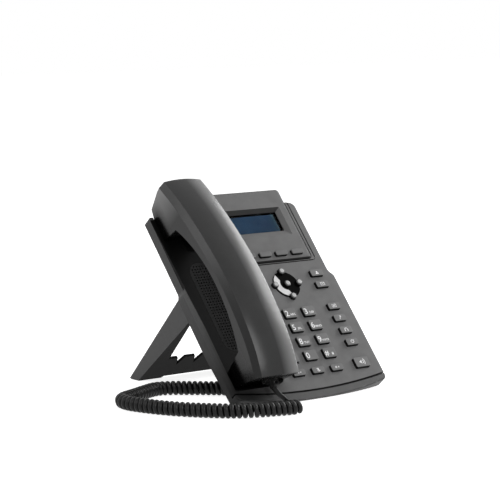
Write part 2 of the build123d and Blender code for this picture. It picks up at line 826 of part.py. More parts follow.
def power_jack():
    """The supply socket: a round hole with its contact pin."""
    jack = supply_jack()
    mouth = Pos(jack.u, HUMP_LOW, jack.middle()) * Rot(-90, 0, 0)
    hole = mouth * Cylinder(POWER_HOLE_RADIUS, 2 * SOCKET_DEPTH)
    pin_length = SOCKET_DEPTH - KEY_TRAVEL
    pin = mouth * Pos(0, 0, SOCKET_DEPTH - pin_length / 2)
    return jack.body() - hole + pin * Cylinder(POWER_PIN_RADIUS, pin_length)


# ---------------------------------------------------------------- desk stand
def stand_profile(front, back, root):
    """A side outline between two leaning lines, level at the foot."""
    foot_front = STAND_FRONT_FOOT + front
    foot_back = STAND_FRONT_FOOT + back
    return [
        (STAND_FRONT_V + front, root),
        (foot_front, height_of(foot_front, FOOT_HEIGHT)),
        (foot_back, height_of(foot_back, FOOT_HEIGHT)),
        (STAND_FRONT_V + back, root),
    ]


def stand_tab(side, grow=0.0):
    """One tab of the stand, which pushes straight into the rear housing."""
    low = STAND_FRONT_V + WALL / 4 - grow
    high = STAND_FRONT_V + STAND_WALL + grow
    half = TAB_WIDTH / 2 + grow
    tip = TAB_LENGTH - HUMP_DEPTH + grow
    root = -HUMP_DEPTH - STAND_SEAT_GAP - STAND_WALL
    return block(side * TAB_U - half, low, root, side * TAB_U + half, high, tip)


def stand_window():
    """The stand's opening, with a comb of cable notches along its lower edge."""
    points = [(-WINDOW_HIGH_HALF, WINDOW_HIGH_W), (-WINDOW_LOW_HALF, BAR_TOP_W)]
    for place in range(NOTCH_COUNT):
        valley = NOTCH_U + place * NOTCH_PITCH
        points.append((valley - NOTCH_STEEP, BAR_TOP_W))
        points.append((valley, BAR_TOP_W - NOTCH_DEPTH))
        points.append((valley + NOTCH_SLOPE, BAR_TOP_W))
    points.append((WINDOW_LOW_HALF, BAR_TOP_W))
    points.append((WINDOW_HIGH_HALF, WINDOW_HIGH_W))
    face = Plane.XZ.offset(-STAND_FRONT_V) * Polygon(*points, align=None)
    return extrude(face, STAND_BACK_V - STAND_FRONT_V, both=True)


def desk_stand():
    """Two tapering side plates, a front web with a window, two soles and two tabs."""
    half = STAND_WIDTH / 2
    root = -BASE_DEPTH - STAND_SEAT_GAP
    foot_back = STAND_BACK_FOOT
    side = [
        (STAND_FRONT_V, root),
        (STAND_FRONT_FOOT, height_of(STAND_FRONT_FOOT, FOOT_HEIGHT)),
        (foot_back, height_of(foot_back, FOOT_HEIGHT)),
        (STAND_BACK_V, root),
    ]
    web = side_prism(stand_profile(0, STAND_WALL, root), -half, half)
    clear = HUMP_WIDTH / 2 + STAND_SEAT_GAP
    seat = -HUMP_DEPTH - STAND_SEAT_GAP
    web = web - stand_window() - block(-clear, 0, seat, clear, FAR, 0)
    lift = FOOT_HEIGHT + BAR_LIFT
    gap = Pos(0, FAR / 2, 0) * Box(2 * (half - FOOT_LENGTH_U), FAR, 2 * lift)
    web = web - DECK.inverse() * gap
    stand = web
    level = Pos(0, 0, FOOT_HEIGHT) * Box(FAR, FAR * 2, 2 * STAND_WALL)
    for turn in (-1, 1):
        outer = turn * half
        left = min(outer, outer - turn * STAND_WALL)
        stand = stand + side_prism(side, left, left + STAND_WALL)
        left = min(outer, outer - turn * FOOT_LENGTH_U)
        sole = side_prism(side, left, left + FOOT_LENGTH_U) & DECK.inverse() * level
        stand = stand + sole + stand_tab(turn)
    return stand


def deck_point(u, v, w):
    """A point of the deck's frame, in the telephone's frame."""
    return (DECK * Pos(u, v, w)).position


def stand_feet():
    """The rubber pads under the stand's two soles, as one group."""
    front = deck_point(0, STAND_FRONT_FOOT, height_of(STAND_FRONT_FOOT, FOOT_HEIGHT)).Y
    back = deck_point(0, STAND_BACK_FOOT, height_of(STAND_BACK_FOOT, FOOT_HEIGHT)).Y
    pads = []
    for turn in (-1, 1):
        middle = turn * (STAND_WIDTH - FOOT_LENGTH_U) / 2
        half = FOOT_LENGTH_U / 2 - FOOT_HEIGHT
        low = front + FOOT_HEIGHT
        pads.append(block(middle - half, low, 0, middle + half, back - FOOT_HEIGHT, FOOT_HEIGHT))
    return Compound([pad.solid() for pad in pads])


def front_foot():
    """The rubber strip under the chin; the origin is the middle of its underside."""
    return Pos(0, 0, FOOT_HEIGHT / 2) * Box(FRONT_FOOT_LENGTH, FRONT_FOOT_WIDTH, FOOT_HEIGHT)


# ---------------------------------------------------------------- handset
def top_path(trim=0.0):
    """The handset's back seen from the side, shortened by a share trim at each end."""
    line = Plane.YZ.offset(HANDSET_U) * Spline(*TOP_LINE)
    return line.trim(trim, 1 - trim) if trim else line


def crown_section(path, side, crown, drop):
    """The handset's back across: a low crown between two sloping shoulders."""
    half = HANDSET_WIDTH / 2 - side
    flat = HANDSET_WIDTH / 2 - SHOULDER_INSET - side
    low = -drop
    outline = Polyline(
        (-flat, -side),
        (-half, -SHOULDER_DROP - side / 2),
        (-half, low),
        (half, low),
        (half, -SHOULDER_DROP - side / 2),
        (flat, -side),
    )
    arc = ThreePointArc((flat, -side), (0, crown - side), (-flat, -side))
    plane = Plane(origin=path @ 0, x_dir=(-1, 0, 0), z_dir=path % 0)
    return plane * make_face([outline, arc])


def crown_sweep(side=0.0, drop=SKIRT, trim=0.0):
    """The handset's back as a solid, drawn in by side all round."""
    path = top_path(trim)
    return sweep(crown_section(path, side, CROWN, drop), path=path)


def handset_profile():
    """The handset from the side, below its back: two cups and the grip's arch."""
    crest = Spline(*TOP_LINE)
    drop = (SHOULDER_DROP + SKIRT) / 2
    back = [(MOUTH_TOP_V, MOUTH_TOP_W)]
    for place in range(1, BACK_STEPS):
        share = place / BACK_STEPS
        point = crest @ share
        along = crest % share
        back.append((point.X + along.Y * drop, point.Y - along.X * drop))
    back.append((EAR_TOP_V, EAR_TOP_W))
    grip_high = (GRIP_HIGH_V, GRIP_HIGH_W)
    grip_low = (GRIP_LOW_V, GRIP_LOW_W)
    ends = Polyline(
        back[-1],
        (EAR_END_V, EAR_END_W),
        (EAR_TIP_V, EAR_TIP_W),
        (EAR_HIGH, CUP_W),
        (EAR_LOW, CUP_W),
        grip_high,
    )
    arch = ThreePointArc(grip_high, (GRIP_MID_V, GRIP_MID_W), grip_low)
    mouth = Polyline(
        grip_low, (MOUTH_HIGH, CUP_W), (MOUTH_LOW, CUP_W), (MOUTH_END_V, MOUTH_END_W), back[0]
    )
    return make_face([Polyline(*back), ends, arch, mouth])


def handset_rooms():
    """The hollows of the ear end and the mouth end from the side; between them the grip is solid."""
    profile = handset_profile()
    ear = Rectangle(FAR, FAR, align=(Align.MIN, Align.CENTER))
    mouth = Rectangle(FAR, FAR, align=(Align.MAX, Align.CENTER))
    high = profile & (Pos(GRIP_SOLID_HIGH, 0) * ear)
    low = profile & (Pos(GRIP_SOLID_LOW, 0) * mouth)
    return [offset(end, amount=-HANDSET_WALL) for end in (high, low)]


def handset_outer_shell():
    """The handset's back: a hollow crowned cover with closed ends."""
    wall = HANDSET_WALL
    return crown_sweep() - crown_sweep(wall, SKIRT + wall, END_SHARE)


def handset_face():
    """The handset's face as one: the two cups and the grip, open towards its back."""
    plane = Plane.YZ.offset(HANDSET_LEFT)
    across = (1, 0, 0)
    body = extrude(plane * handset_profile(), HANDSET_WIDTH, dir=across)
    body = body - crown_sweep()
    inner = Plane.YZ.offset(HANDSET_LEFT + HANDSET_WALL)
    for room in handset_rooms():
        hollow = extrude(inner * room, HANDSET_WIDTH - 2 * HANDSET_WALL, dir=across)
        body = body - hollow - Pos(0, 0, HANDSET_WALL) * hollow
    ear = (EAR_LOW + EAR_HIGH) / 2
    for place in (-1, 0, 1):
        u = HANDSET_U + place * EARPIECE_RADIUS / 2
        body = body - peg(u, ear, SOUND_HOLE_RADIUS, CUP_W - 1, CUP_W + HANDSET_WALL + 1)
    mouth = (MOUTH_LOW + MOUTH_HIGH) / 2
    body = body - peg(HANDSET_U, mouth, SOUND_HOLE_RADIUS, CUP_W - 1, CUP_W + HANDSET_WALL + 1)
    return body - handset_socket_body(JACK_GAP)


def ear_side():
    """All that lies beyond the grip's upper end, where the ear cap begins."""
    return block(-FAR, GRIP_HIGH_V, -FAR, FAR, FAR, FAR)


def handset_ear_cap():
    """The ear end of the handset's face."""
    return handset_face() & ear_side()


def handset_inner_shell():
    """The grip and the mouth end of the handset's face."""
    return handset_face() - ear_side()


def handset_socket_body(grow=0.0):
    """The block of the handset's own cord socket."""
    half = CORD_JACK_WIDTH / 2 + grow
    low = HANDSET_SOCKET_W - SOCKET_HEIGHT / 2 - JACK_SKIN - grow
    high = HANDSET_SOCKET_W + SOCKET_HEIGHT / 2 + JACK_SKIN + grow
    left = HANDSET_SOCKET_U - half
    right = HANDSET_SOCKET_U + half
    deep = HANDSET_SOCKET_V + CORD_JACK_DEPTH - grow
    return block(left, HANDSET_SOCKET_V, low, right, deep, high)


def handset_socket():
    """The cord socket in the handset's mouth end."""
    half = CORD_SOCKET_WIDTH / 2
    low = HANDSET_SOCKET_W - SOCKET_HEIGHT / 2
    left = HANDSET_SOCKET_U - half
    right = HANDSET_SOCKET_U + half
    high = low + SOCKET_HEIGHT
    deep = HANDSET_SOCKET_V + SOCKET_DEPTH
    return handset_socket_body() - block(left, 0, low, right, deep, high)


def earpiece_capsule():
    """The receiver in the ear cup."""
    ear = (EAR_LOW + EAR_HIGH) / 2
    low = CUP_W + HANDSET_WALL
    radius = (EAR_HIGH - EAR_LOW) / 2 - HANDSET_WALL
    return peg(HANDSET_U, ear, radius, low, low + EARPIECE_HEIGHT)


def microphone_capsule():
    """The transmitter in the mouth cup."""
    mouth = (MOUTH_LOW + MOUTH_HIGH) / 2
    low = CUP_W + HANDSET_WALL
    return peg(HANDSET_U, mouth, MICROPHONE_RADIUS, low, low + MICROPHONE_HEIGHT)


# ---------------------------------------------------------------- cord
def plug(u, v, w):
    """A cord plug with its strain relief, its socket's mouth at v, leaving along -v."""
    half = PLUG_WIDTH / 2
    low = w - PLUG_HEIGHT / 2
    body = block(u - half, v - PLUG_OUTSIDE, low, u + half, v + PLUG_INSIDE, low + PLUG_HEIGHT)
    neck = Pos(u, v - PLUG_OUTSIDE - RELIEF_LENGTH / 2, w) * Rot(90, 0, 0)
    return body + neck * Cylinder(RELIEF_RADIUS, RELIEF_LENGTH)


def handset_plug():
    """The plug in the handset's end."""
    return plug(HANDSET_SOCKET_U, HANDSET_SOCKET_V, HANDSET_SOCKET_W)


def base_plug():
    """The plug in the rear housing's cord jack."""
    return plug(CORD_JACK_U, HUMP_LOW, cord_jack(CORD_JACK_U).middle())


def plug_tail(u, v, w):
    """Where the cord leaves a plug."""
    return deck_point(u, v - PLUG_OUTSIDE - RELIEF_LENGTH, w)


def corner_radii(points):
    """The arc at each corner of a route: as large as its two runs allow."""
    vectors = [Vector(*point) for point in points]
    radii = []
    for before, here, after in zip(vectors, vectors[1:], vectors[2:]):
        arrive = here - before
        leave = after - here
        turn = radians(arrive.get_angle(leave))
        radii.append(CORNER_SHARE * min(arrive.length, leave.length) / tan(turn / 2))
    return radii


def cord_tube(name, points, diameter):
    """A tube along straight runs joined by tangent arcs."""
    radii = corner_radii(points)
    path = FilletPolyline(*points, radius=radii)
    start = Plane(origin=path @ 0, z_dir=path % 0)
    tube = sweep(start * Circle(diameter / 2), path=path)
    section = pi * diameter**2 / 4
    share = tube.volume / (section * path.length)
    least = min(radii) / diameter
    print(name, "length", round(path.length, 1), "volume share", round(share, 4))
    print(name, "radii", [round(r, 1) for r in radii], "least in diameters", round(least, 1))
    return tube


LEAD_START_RUN = 7.6
LEAD_END_RUN = 7.0
COIL_ROUTE = [
    (-43.5, -26.5),
    (-42.8, -36.5),
    (-48.5, -45.4),
    (-60.0, -46.0),
    (-74.0, -41.8),
    (-88.0, -36.8),
    (-105.0, -27.5),
    (-125.0, -5.0),
    (-137.5, 14.5),
    (-146.5, 35.5),
    (-151.0, 53.0),
    (-149.5, 64.5),
    (-140.5, 72.0),
    (-127.0, 76.5),
    (-112.0, 84.0),
    (-97.5, 89.5),
    (-84.5, 84.0),
    (-70.0, 71.0),
    (-57.0, 59.5),
    (-47.5, 50.1),
]
TAIL_START_RUN = 9.5
TAIL_END_RUN = 9.5
TAIL_ROUTE = [(-33.0, 38.5, 9.2), (-25.8, 35.9, 15.2), (-19.8, 36.9, 22.9)]
CORNER_SHARE = 0.45
END_SHARE = 0.012


def beyond(point, neighbour, run):
    """A point in line with a run, ahead of its end."""
    here = Vector(*point)
    ahead = here + (here - Vector(*neighbour)).normalized() * run
    return (ahead.X, ahead.Y, ahead.Z)


def exit_points(u, v, w, run):
    """The end of a plug's strain relief, and a point straight out of it."""
    tail = plug_tail(u, v, w)
    ahead = plug_tail(u, v - run, w)
    return (tail.X, tail.Y, tail.Z), (ahead.X, ahead.Y, ahead.Z)


def cord_pieces():
    """The lead from the handset, the curly stretch on the desk and the base's lead."""
    coil = [(x, y, COIL_DIAMETER / 2) for x, y in COIL_ROUTE]
    near, far = exit_points(HANDSET_SOCKET_U, HANDSET_SOCKET_V, HANDSET_SOCKET_W, LEAD_START_RUN)
    lead = [near, far, beyond(coil[0], coil[1], LEAD_END_RUN), coil[0]]
    height = cord_jack(CORD_JACK_U).middle()
    near, far = exit_points(CORD_JACK_U, HUMP_LOW, height, TAIL_END_RUN)
    tail = [coil[-1], beyond(coil[-1], coil[-2], TAIL_START_RUN)] + TAIL_ROUTE + [far, near]
    return {
        "handset_lead": cord_tube("handset_lead", lead, CORD_DIAMETER),
        "cord_curl": cord_tube("cord_curl", coil, COIL_DIAMETER),
        "base_lead": cord_tube("base_lead", tail, CORD_DIAMETER),
    }


# ---------------------------------------------------------------- the telephone
def telephone():
    """Every piece in the telephone's frame, by node name."""
    keys = all_keys()
    cords = [cord_jack(CORD_JACK_U), cord_jack(HEADSET_JACK_U)]
    networks = [network_jack(LAN_JACK_U), network_jack(PC_JACK_U)]
    leaning = {
        "upper_casing": upper_casing(keys),
        "lower_casing": lower_casing(),
        "display_bezel": display_bezel(keys),
        "display_window": display_window(),
        "lcd_module": lcd_module(),
        "nav_plate": nav_plate(keys),
        "keypad_mat": keypad_mat(keys),
        "main_board": main_board(),
        "loudspeaker": loudspeaker(),
        "speaker_grille": speaker_grille(),
        "hook_lever": hook_lever(),
        "casing_screws": casing_screws(),
        "cord_jacks": jack_pair(cords),
        "network_jacks": jack_pair(networks),
        "power_jack": power_jack(),
        "desk_stand": desk_stand(),
        "handset_outer_shell": handset_outer_shell(),
        "handset_inner_shell": handset_inner_shell(),
        "handset_ear_cap": handset_ear_cap(),
        "earpiece_capsule": earpiece_capsule(),
        "microphone_capsule": microphone_capsule(),
        "handset_socket": handset_socket(),
        "handset_plug": handset_plug(),
        "base_plug": base_plug(),
    }
    for key in keys:
        leaning[key.name] = key.solid()
    pieces = {name: DECK * piece for name, piece in leaning.items()}
    pieces["stand_feet"] = stand_feet()
    pieces["front_foot"] = front_foot()
    pieces.update(cord_pieces())
    return pieces


def main():
    """Writes one file for each piece."""
    os.makedirs("parts", exist_ok=True)
    for name, piece in telephone().items():
        export_step(piece, f"parts/{name}.step")


if __name__ == "__main__":
    main()
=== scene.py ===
"""Dresses the desk telephone: finishes, key printing, the curly cord and the studio."""

import json
import logging
import math
from dataclasses import dataclass
from enum import Enum
from itertools import accumulate
from typing import ClassVar, Iterable, Iterator

import bmesh
import bpy
from mathutils import Matrix, Vector


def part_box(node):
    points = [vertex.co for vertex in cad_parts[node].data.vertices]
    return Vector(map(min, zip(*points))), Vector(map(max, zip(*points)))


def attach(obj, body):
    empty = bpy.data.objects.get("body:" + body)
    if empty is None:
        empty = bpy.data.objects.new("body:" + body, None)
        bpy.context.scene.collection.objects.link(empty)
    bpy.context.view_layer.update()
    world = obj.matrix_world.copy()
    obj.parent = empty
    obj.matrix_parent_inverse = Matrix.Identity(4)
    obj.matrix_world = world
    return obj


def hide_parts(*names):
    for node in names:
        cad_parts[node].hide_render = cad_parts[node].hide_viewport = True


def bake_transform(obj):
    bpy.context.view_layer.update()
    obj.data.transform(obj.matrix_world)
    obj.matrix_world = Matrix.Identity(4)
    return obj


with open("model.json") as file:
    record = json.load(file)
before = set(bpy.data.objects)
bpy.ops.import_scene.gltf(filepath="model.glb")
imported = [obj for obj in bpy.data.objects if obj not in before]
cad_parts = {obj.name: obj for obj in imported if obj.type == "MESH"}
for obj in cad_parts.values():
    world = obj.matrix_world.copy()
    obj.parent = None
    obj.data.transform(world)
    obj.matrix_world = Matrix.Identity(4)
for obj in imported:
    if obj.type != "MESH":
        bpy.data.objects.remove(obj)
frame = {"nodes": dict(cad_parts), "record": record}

log = logging.getLogger("desk_telephone")

MM = 0.001
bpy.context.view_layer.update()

Colour = tuple[float, float, float]
Point = tuple[float, float, float]
Spot = tuple[float, float]
Outline = tuple[Spot, ...]
Node = bpy.types.Node
Socket = bpy.types.NodeSocket
Inputs = dict[str | int, object]


# ------------------------------------------------------------------ placing
@dataclass(frozen=True)
class DeckFrame:
    """The leaning frame of the deck: u across, v up the deck, w out of it, in mm."""

    lean: float = math.radians(49.0)
    setback: float = 2.5
    rise: float = 9.3

    def matrix(self) -> Matrix:
        """The change from the deck's millimetres to the telephone's metres."""
        place = Matrix.Translation((0.0, -self.setback * MM, self.rise * MM))
        return place @ Matrix.Rotation(self.lean, 4, "X") @ Matrix.Scale(MM, 4)

    def point(self, u: float, v: float, w: float) -> Vector:
        """A deck point in the telephone's metres."""
        return self.matrix() @ Vector((u, v, w))

    def normal(self) -> Vector:
        """The unit direction out of the deck."""
        return Vector((0.0, -math.sin(self.lean), math.cos(self.lean)))

    def slope(self) -> Vector:
        """The unit direction up the deck."""
        return self.slant(0.0, 1.0)

    def slant(self, across: float, up: float) -> Vector:
        """A direction in the deck's plane, from its parts across and up the deck."""
        return Vector((across, up * math.cos(self.lean), up * math.sin(self.lean)))


DECK = DeckFrame()


# ------------------------------------------------------------------ nodes
class NodeTree:
    """The nodes of a material or of the world, with ways to add and join them."""

    def __init__(self, tree: bpy.types.NodeTree, output: str) -> None:
        """Empties the tree and gives it its output.

        Args:
            tree: Blender's own tree.
            output: Blender's name of the output node.
        """
        self.tree = tree
        self.tree.nodes.clear()
        self.output = self.add(output)

    def add(self, kind: str, inputs: Inputs | None = None, **values: object) -> Node:
        """Adds a node.

        Args:
            kind: Blender's name of the node.
            inputs: what its inputs get, as feed takes it.
            **values: properties to set on it.

        Returns:
            The new node.
        """
        node = self.tree.nodes.new(kind)
        for key, value in values.items():
            setattr(node, key, value)
        self.feed(node, inputs or {})
        return node

    def feed(self, node: Node, inputs: Inputs) -> None:
        """Gives a node's inputs what they follow.

        Args:
            node: the node.
            inputs: for each input's name or place, a socket or a plain value.
        """
        for key, value in inputs.items():
            if isinstance(value, Socket):
                self.tree.links.new(value, node.inputs[key])
            else:
                node.inputs[key].default_value = value

    def maths(self, operation: str, first: Socket, second: Socket) -> Socket:
        """The result of one operation on two value sockets."""
        node = self.add("ShaderNodeMath", {0: first, 1: second}, operation=operation)
        return node.outputs["Value"]

    def show(self, unseen: Node, seen: Node) -> None:
        """Puts out one shader as light, and another where it is looked at.

        Args:
            unseen: the shader that lights the telephone.
            seen: the shader that the camera, reflections and clear panes show.
        """
        path = self.add("ShaderNodeLightPath").outputs
        looks = self.maths("MAXIMUM", path["Is Camera Ray"], path["Is Glossy Ray"])
        looks = self.maths("MAXIMUM", looks, path["Is Transmission Ray"])
        inputs = {0: looks, 1: unseen.outputs[0], 2: seen.outputs[0]}
        mix = self.add("ShaderNodeMixShader", inputs)
        self.feed(self.output, {"Surface": mix.outputs[0]})


class FinishTree(NodeTree):
    """The nodes of one new finish, which end in the usual surface shader."""

    MIDDLE: ClassVar[Spot] = (0.3, 0.7)

    def __init__(self, name: str) -> None:
        """Starts the material with its shader and output.

        Args:
            name: the material's name.
        """
        self.material = bpy.data.materials.new(name)
        self.material.use_nodes = True
        super().__init__(self.material.node_tree, "ShaderNodeOutputMaterial")
        self.shader = self.add("ShaderNodeBsdfPrincipled")
        self.feed(self.output, {"Surface": self.shader.outputs["BSDF"]})

    def place(self) -> Socket:
        """The socket that holds the place on the piece."""
        return self.add("ShaderNodeTexCoord").outputs["Object"]

    def noise(self, where: Socket, size: float, detail: float = 2.0) -> Socket:
        """Adds a noise pattern.

        Args:
            where: the place socket that it follows.
            size: the size of its blobs in metres.
            detail: the number of finer layers.

        Returns:
            The pattern's value socket.
        """
        inputs = {"Vector": where, "Scale": 1.0 / size, "Detail": detail}
        return self.add("ShaderNodeTexNoise", inputs).outputs["Fac"]

    def ramp(self, value: Socket, ends: Spot, colours: tuple[Colour, Colour]) -> Socket:
        """Turns a value into a colour.

        Args:
            value: the value socket.
            ends: the values at the ramp's two ends.
            colours: the colours there.

        Returns:
            The colour socket.
        """
        node = self.add("ShaderNodeValToRGB", {"Fac": value})
        for element, end, colour in zip(node.color_ramp.elements, ends, colours):
            element.position = end
            element.color = (*colour, 1.0)
        return node.outputs["Color"]

    def remap(self, value: Socket, ends: Spot, results: Spot) -> Socket:
        """Maps one range to another, and holds what lies outside at its ends.

        Args:
            value: the value socket.
            ends: the values at the range's two ends.
            results: the results there.

        Returns:
            The result's socket.
        """
        inputs = {"Value": value}
        inputs["From Min"], inputs["From Max"] = ends
        inputs["To Min"], inputs["To Max"] = results
        return self.add("ShaderNodeMapRange", inputs).outputs["Result"]

    def spread(self, value: Socket, low: float, high: float) -> Socket:
        """Maps a pattern's middle range to the numbers from low to high."""
        return self.remap(value, self.MIDDLE, (low, high))

    def step(self, value: Socket, edge: float, soft: float, results: Spot) -> Socket:
        """Adds a soft step.

        Args:
            value: the value socket.
            edge: the value at the middle of the step.
            soft: the width of the step.
            results: the result below it and above it.

        Returns:
            The result's socket.
        """
        return self.remap(value, (edge - soft / 2, edge + soft / 2), results)

    def dot(self, vector: Socket, direction: Vector) -> Socket:
        """The part of a vector socket that points along a direction."""
        node = self.add("ShaderNodeVectorMath", {0: vector, 1: direction}, operation="DOT_PRODUCT")
        return node.outputs["Value"]

    def from_corner(self) -> Socket:
        """The place on the piece from the deck's corner, in metres."""
        inputs = {0: self.place(), 1: DECK.point(0.0, 0.0, 0.0)}
        return self.add("ShaderNodeVectorMath", inputs, operation="SUBTRACT").outputs["Vector"]

    def facing(self, direction: Vector) -> Socket:
        """How far the surface faces a direction, from minus one to one."""
        return self.dot(self.add("ShaderNodeTexCoord").outputs["Normal"], direction)

    def mix(self, share: Socket, start: Socket, end: Colour) -> Socket:
        """A colour socket blended into a plain colour by a share socket."""
        inputs = {0: share, 6: start, 7: (*end, 1.0)}
        return self.add("ShaderNodeMix", inputs, data_type="RGBA").outputs[2]

    def bump(self, height: Socket, depth: float) -> None:
        """Gives the shader relief of that depth in metres from a height socket."""
        node = self.add("ShaderNodeBump", {"Strength": 1.0, "Distance": depth, "Height": height})
        self.feed(self.shader, {"Normal": node.outputs["Normal"]})


# ------------------------------------------------------------------ tones
@dataclass(frozen=True)
class Along:
    """The place along a direction from the deck's corner, in mm."""

    direction: Vector
    unit: float = MM

    def socket(self, tree: FinishTree) -> Socket:
        """The measure's value socket."""
        return tree.dot(tree.from_corner(), self.direction)


@dataclass(frozen=True)
class Facing:
    """How far the surface faces a direction, from minus one to one."""

    direction: Vector
    unit: float = 1.0

    def socket(self, tree: FinishTree) -> Socket:
        """The measure's value socket."""
        return tree.facing(self.direction)


@dataclass(frozen=True)
class Away:
    """The distance in the deck's plane from a point of it, in mm."""

    u: float
    v: float
    unit: float = MM

    def socket(self, tree: FinishTree) -> Socket:
        """Measures the distance.

        Args:
            tree: the finish that it is for.

        Returns:
            The measure's value socket.
        """
        corner = tree.from_corner()
        inputs = {"X": tree.dot(corner, DECK.slant(1.0, 0.0)), "Y": tree.dot(corner, DECK.slope())}
        flat = tree.add("ShaderNodeCombineXYZ", inputs).outputs["Vector"]
        ends = {0: flat, 1: (self.u * MM, self.v * MM, 0.0)}
        return tree.add("ShaderNodeVectorMath", ends, operation="DISTANCE").outputs["Value"]


ACROSS = Along(DECK.slant(1.0, 0.0))
UP_DECK = Along(DECK.slope())
OUT = Along(DECK.normal())
HEIGHT = Along(Vector((0.0, 0.0, 1.0)))
LEFTWARD = Facing(DECK.slant(-1.0, 0.0))
RIGHTWARD = Facing(DECK.slant(1.0, 0.0))
DOWNWARD = Facing(-DECK.slope())
CHIN_LINE = Away(0.0, 491.2)


@dataclass(frozen=True)
class Band:
    """A range of one measure with soft ends."""

    measure: Along | Facing | Away
    low: float | None = None
    high: float | None = None
    soft: float = 0.3

    def shares(self, tree: FinishTree) -> list[Socket]:
        """Finds where the range holds.

        Args:
            tree: the finish that it is for.

        Returns:
            One socket for each end, which is one inside the range and none outside it.
        """
        value = self.measure.socket(tree)
        unit = self.measure.unit
        ends = ((self.low, (0.0, 1.0)), (self.high, (1.0, 0.0)))
        return [
            tree.step(value, edge * unit, self.soft * unit, results)
            for edge, results in ends
            if edge is not None
        ]


@dataclass(frozen=True)
class Tone:
    """Another colour at a named spot, where all of its bands hold."""

    spot: str
    colour: Colour
    bands: tuple[Band, ...]

    def over(self, tree: FinishTree, paint: Socket) -> Socket:
        """Lays the tone over a paint.

        Args:
            tree: the finish that it is for.
            paint: the colour socket under it.

        Returns:
            The new colour socket.
        """
        shares = [share for band in self.bands for share in band.shares(tree)]
        joined = shares[0]
        for share in shares[1:]:
            joined = tree.maths("MULTIPLY", joined, share)
        joined.node.label = self.spot
        return tree.mix(joined, paint, self.colour)


# ------------------------------------------------------------------ finishes
def grey(value: float) -> Colour:
    """A neutral colour."""
    return (value, value, value)


def scaled(colour: Colour, factor: float) -> Colour:
    """A colour times a factor."""
    return tuple(channel * factor for channel in colour)


JET = grey(0.002)
SHADE = grey(0.003)


class Sheen(Enum):
    """How polished a plastic surface is."""

    MATT = 0.62
    SATIN = 0.46
    SILKY = 0.34
    POLISHED = 0.2
    GLOSSY = 0.12


@dataclass(frozen=True)
class Plastic:
    """A moulded plastic: faint mottling, uneven sheen and a fine moulded grain."""

    name: str
    colour: Colour
    sheen: Sheen = Sheen.SATIN
    grain: float = 0.0006
    relief: float = 0.00001
    mottling: float = 0.06
    specular: float = 0.3
    tones: tuple[Tone, ...] = ()
    cloud: ClassVar[float] = 0.012
    cloud_ends: ClassVar[Spot] = (0.35, 0.65)
    unevenness: ClassVar[float] = 0.05

    def material(self) -> bpy.types.Material:
        """Builds the finish.

        Returns:
            The finished material.
        """
        tree = FinishTree(self.name)
        where = tree.place()
        factors = (1.0 - self.mottling, 1.0 + self.mottling)
        colours = tuple(scaled(self.colour, factor) for factor in factors)
        paint = tree.ramp(tree.noise(where, self.cloud, 3.0), self.cloud_ends, colours)
        for tone in self.tones:
            paint = tone.over(tree, paint)
        speck = tree.noise(where, self.grain)
        middle = self.sheen.value
        rough = tree.spread(speck, middle - self.unevenness, middle + self.unevenness)
        inputs = {"Base Color": paint, "Roughness": rough, "Specular IOR Level": self.specular}
        tree.feed(tree.shader, inputs)
        tree.bump(speck, self.relief)
        return tree.material


@dataclass(frozen=True)
class Pane:
    """A clear plastic pane."""

    name: str
    tint: Colour = (0.82, 0.87, 0.92)
    index: float = 1.08
    smear: float = 0.02
    rough: Spot = (0.02, 0.06)

    def material(self) -> bpy.types.Material:
        """Builds the finish.

        Returns:
            The finished material.
        """
        tree = FinishTree(self.name)
        rough = tree.spread(tree.noise(tree.place(), self.smear), *self.rough)
        tree.feed(tree.shader, {"Base Color": (*self.tint, 1.0), "Roughness": rough})
        tree.feed(tree.shader, {"Transmission Weight": 1.0, "IOR": self.index})
        return tree.material


@dataclass(frozen=True)
class CrystalDisplay:
    """An unlit liquid crystal: deep blue with a faint dot pitch."""

    name: str
    colour: Colour = (0.024, 0.056, 0.104)
    pitch: float = 0.0004
    cell_gap: float = 0.8
    lift: float = 1.15
    haze: float = 0.01
    rough: Spot = (0.22, 0.3)
    specular: float = 0.1
    # The display's tones: a painted highlight towards its right, and painted shade at its right
    # and top edges.
    tones: tuple[Tone, ...] = (
        Tone("lit edge", (0.05, 0.1, 0.13), (Band(ACROSS, 46.5, soft=3.0),)),
        Tone("painted shade at the right edge", SHADE, (Band(ACROSS, 49.6),)),
        Tone("painted shade at the top edge", SHADE, (Band(UP_DECK, 178.2),)),
    )

    def material(self) -> bpy.types.Material:
        """Builds the finish.

        Returns:
            The finished material.
        """
        tree = FinishTree(self.name)
        where = tree.place()
        cells = tree.add("ShaderNodeTexVoronoi", {"Vector": where, "Scale": 1.0 / self.pitch})
        colours = (scaled(self.colour, self.lift), self.colour)
        paint = tree.ramp(cells.outputs["Distance"], (0.0, self.cell_gap), colours)
        for tone in self.tones:
            paint = tone.over(tree, paint)
        rough = tree.spread(tree.noise(where, self.haze), *self.rough)
        inputs = {"Base Color": paint, "Roughness": rough, "Specular IOR Level": self.specular}
        tree.feed(tree.shader, inputs)
        return tree.material


@dataclass(frozen=True)
class Metal:
    """A plated metal with fine turning marks."""

    name: str
    colour: Colour
    marks: float = 0.0008
    depth: float = 0.00001
    dull: float = 0.85
    rough: Spot = (0.3, 0.45)

    def material(self) -> bpy.types.Material:
        """Builds the finish.

        Returns:
            The finished material.
        """
        tree = FinishTree(self.name)
        speck = tree.noise(tree.place(), self.marks, 4.0)
        colours = (scaled(self.colour, self.dull), self.colour)
        paint = tree.ramp(speck, tree.MIDDLE, colours)
        rough = tree.spread(speck, *self.rough)
        tree.feed(tree.shader, {"Base Color": paint, "Roughness": rough, "Metallic": 1.0})
        tree.bump(speck, self.depth)
        return tree.material


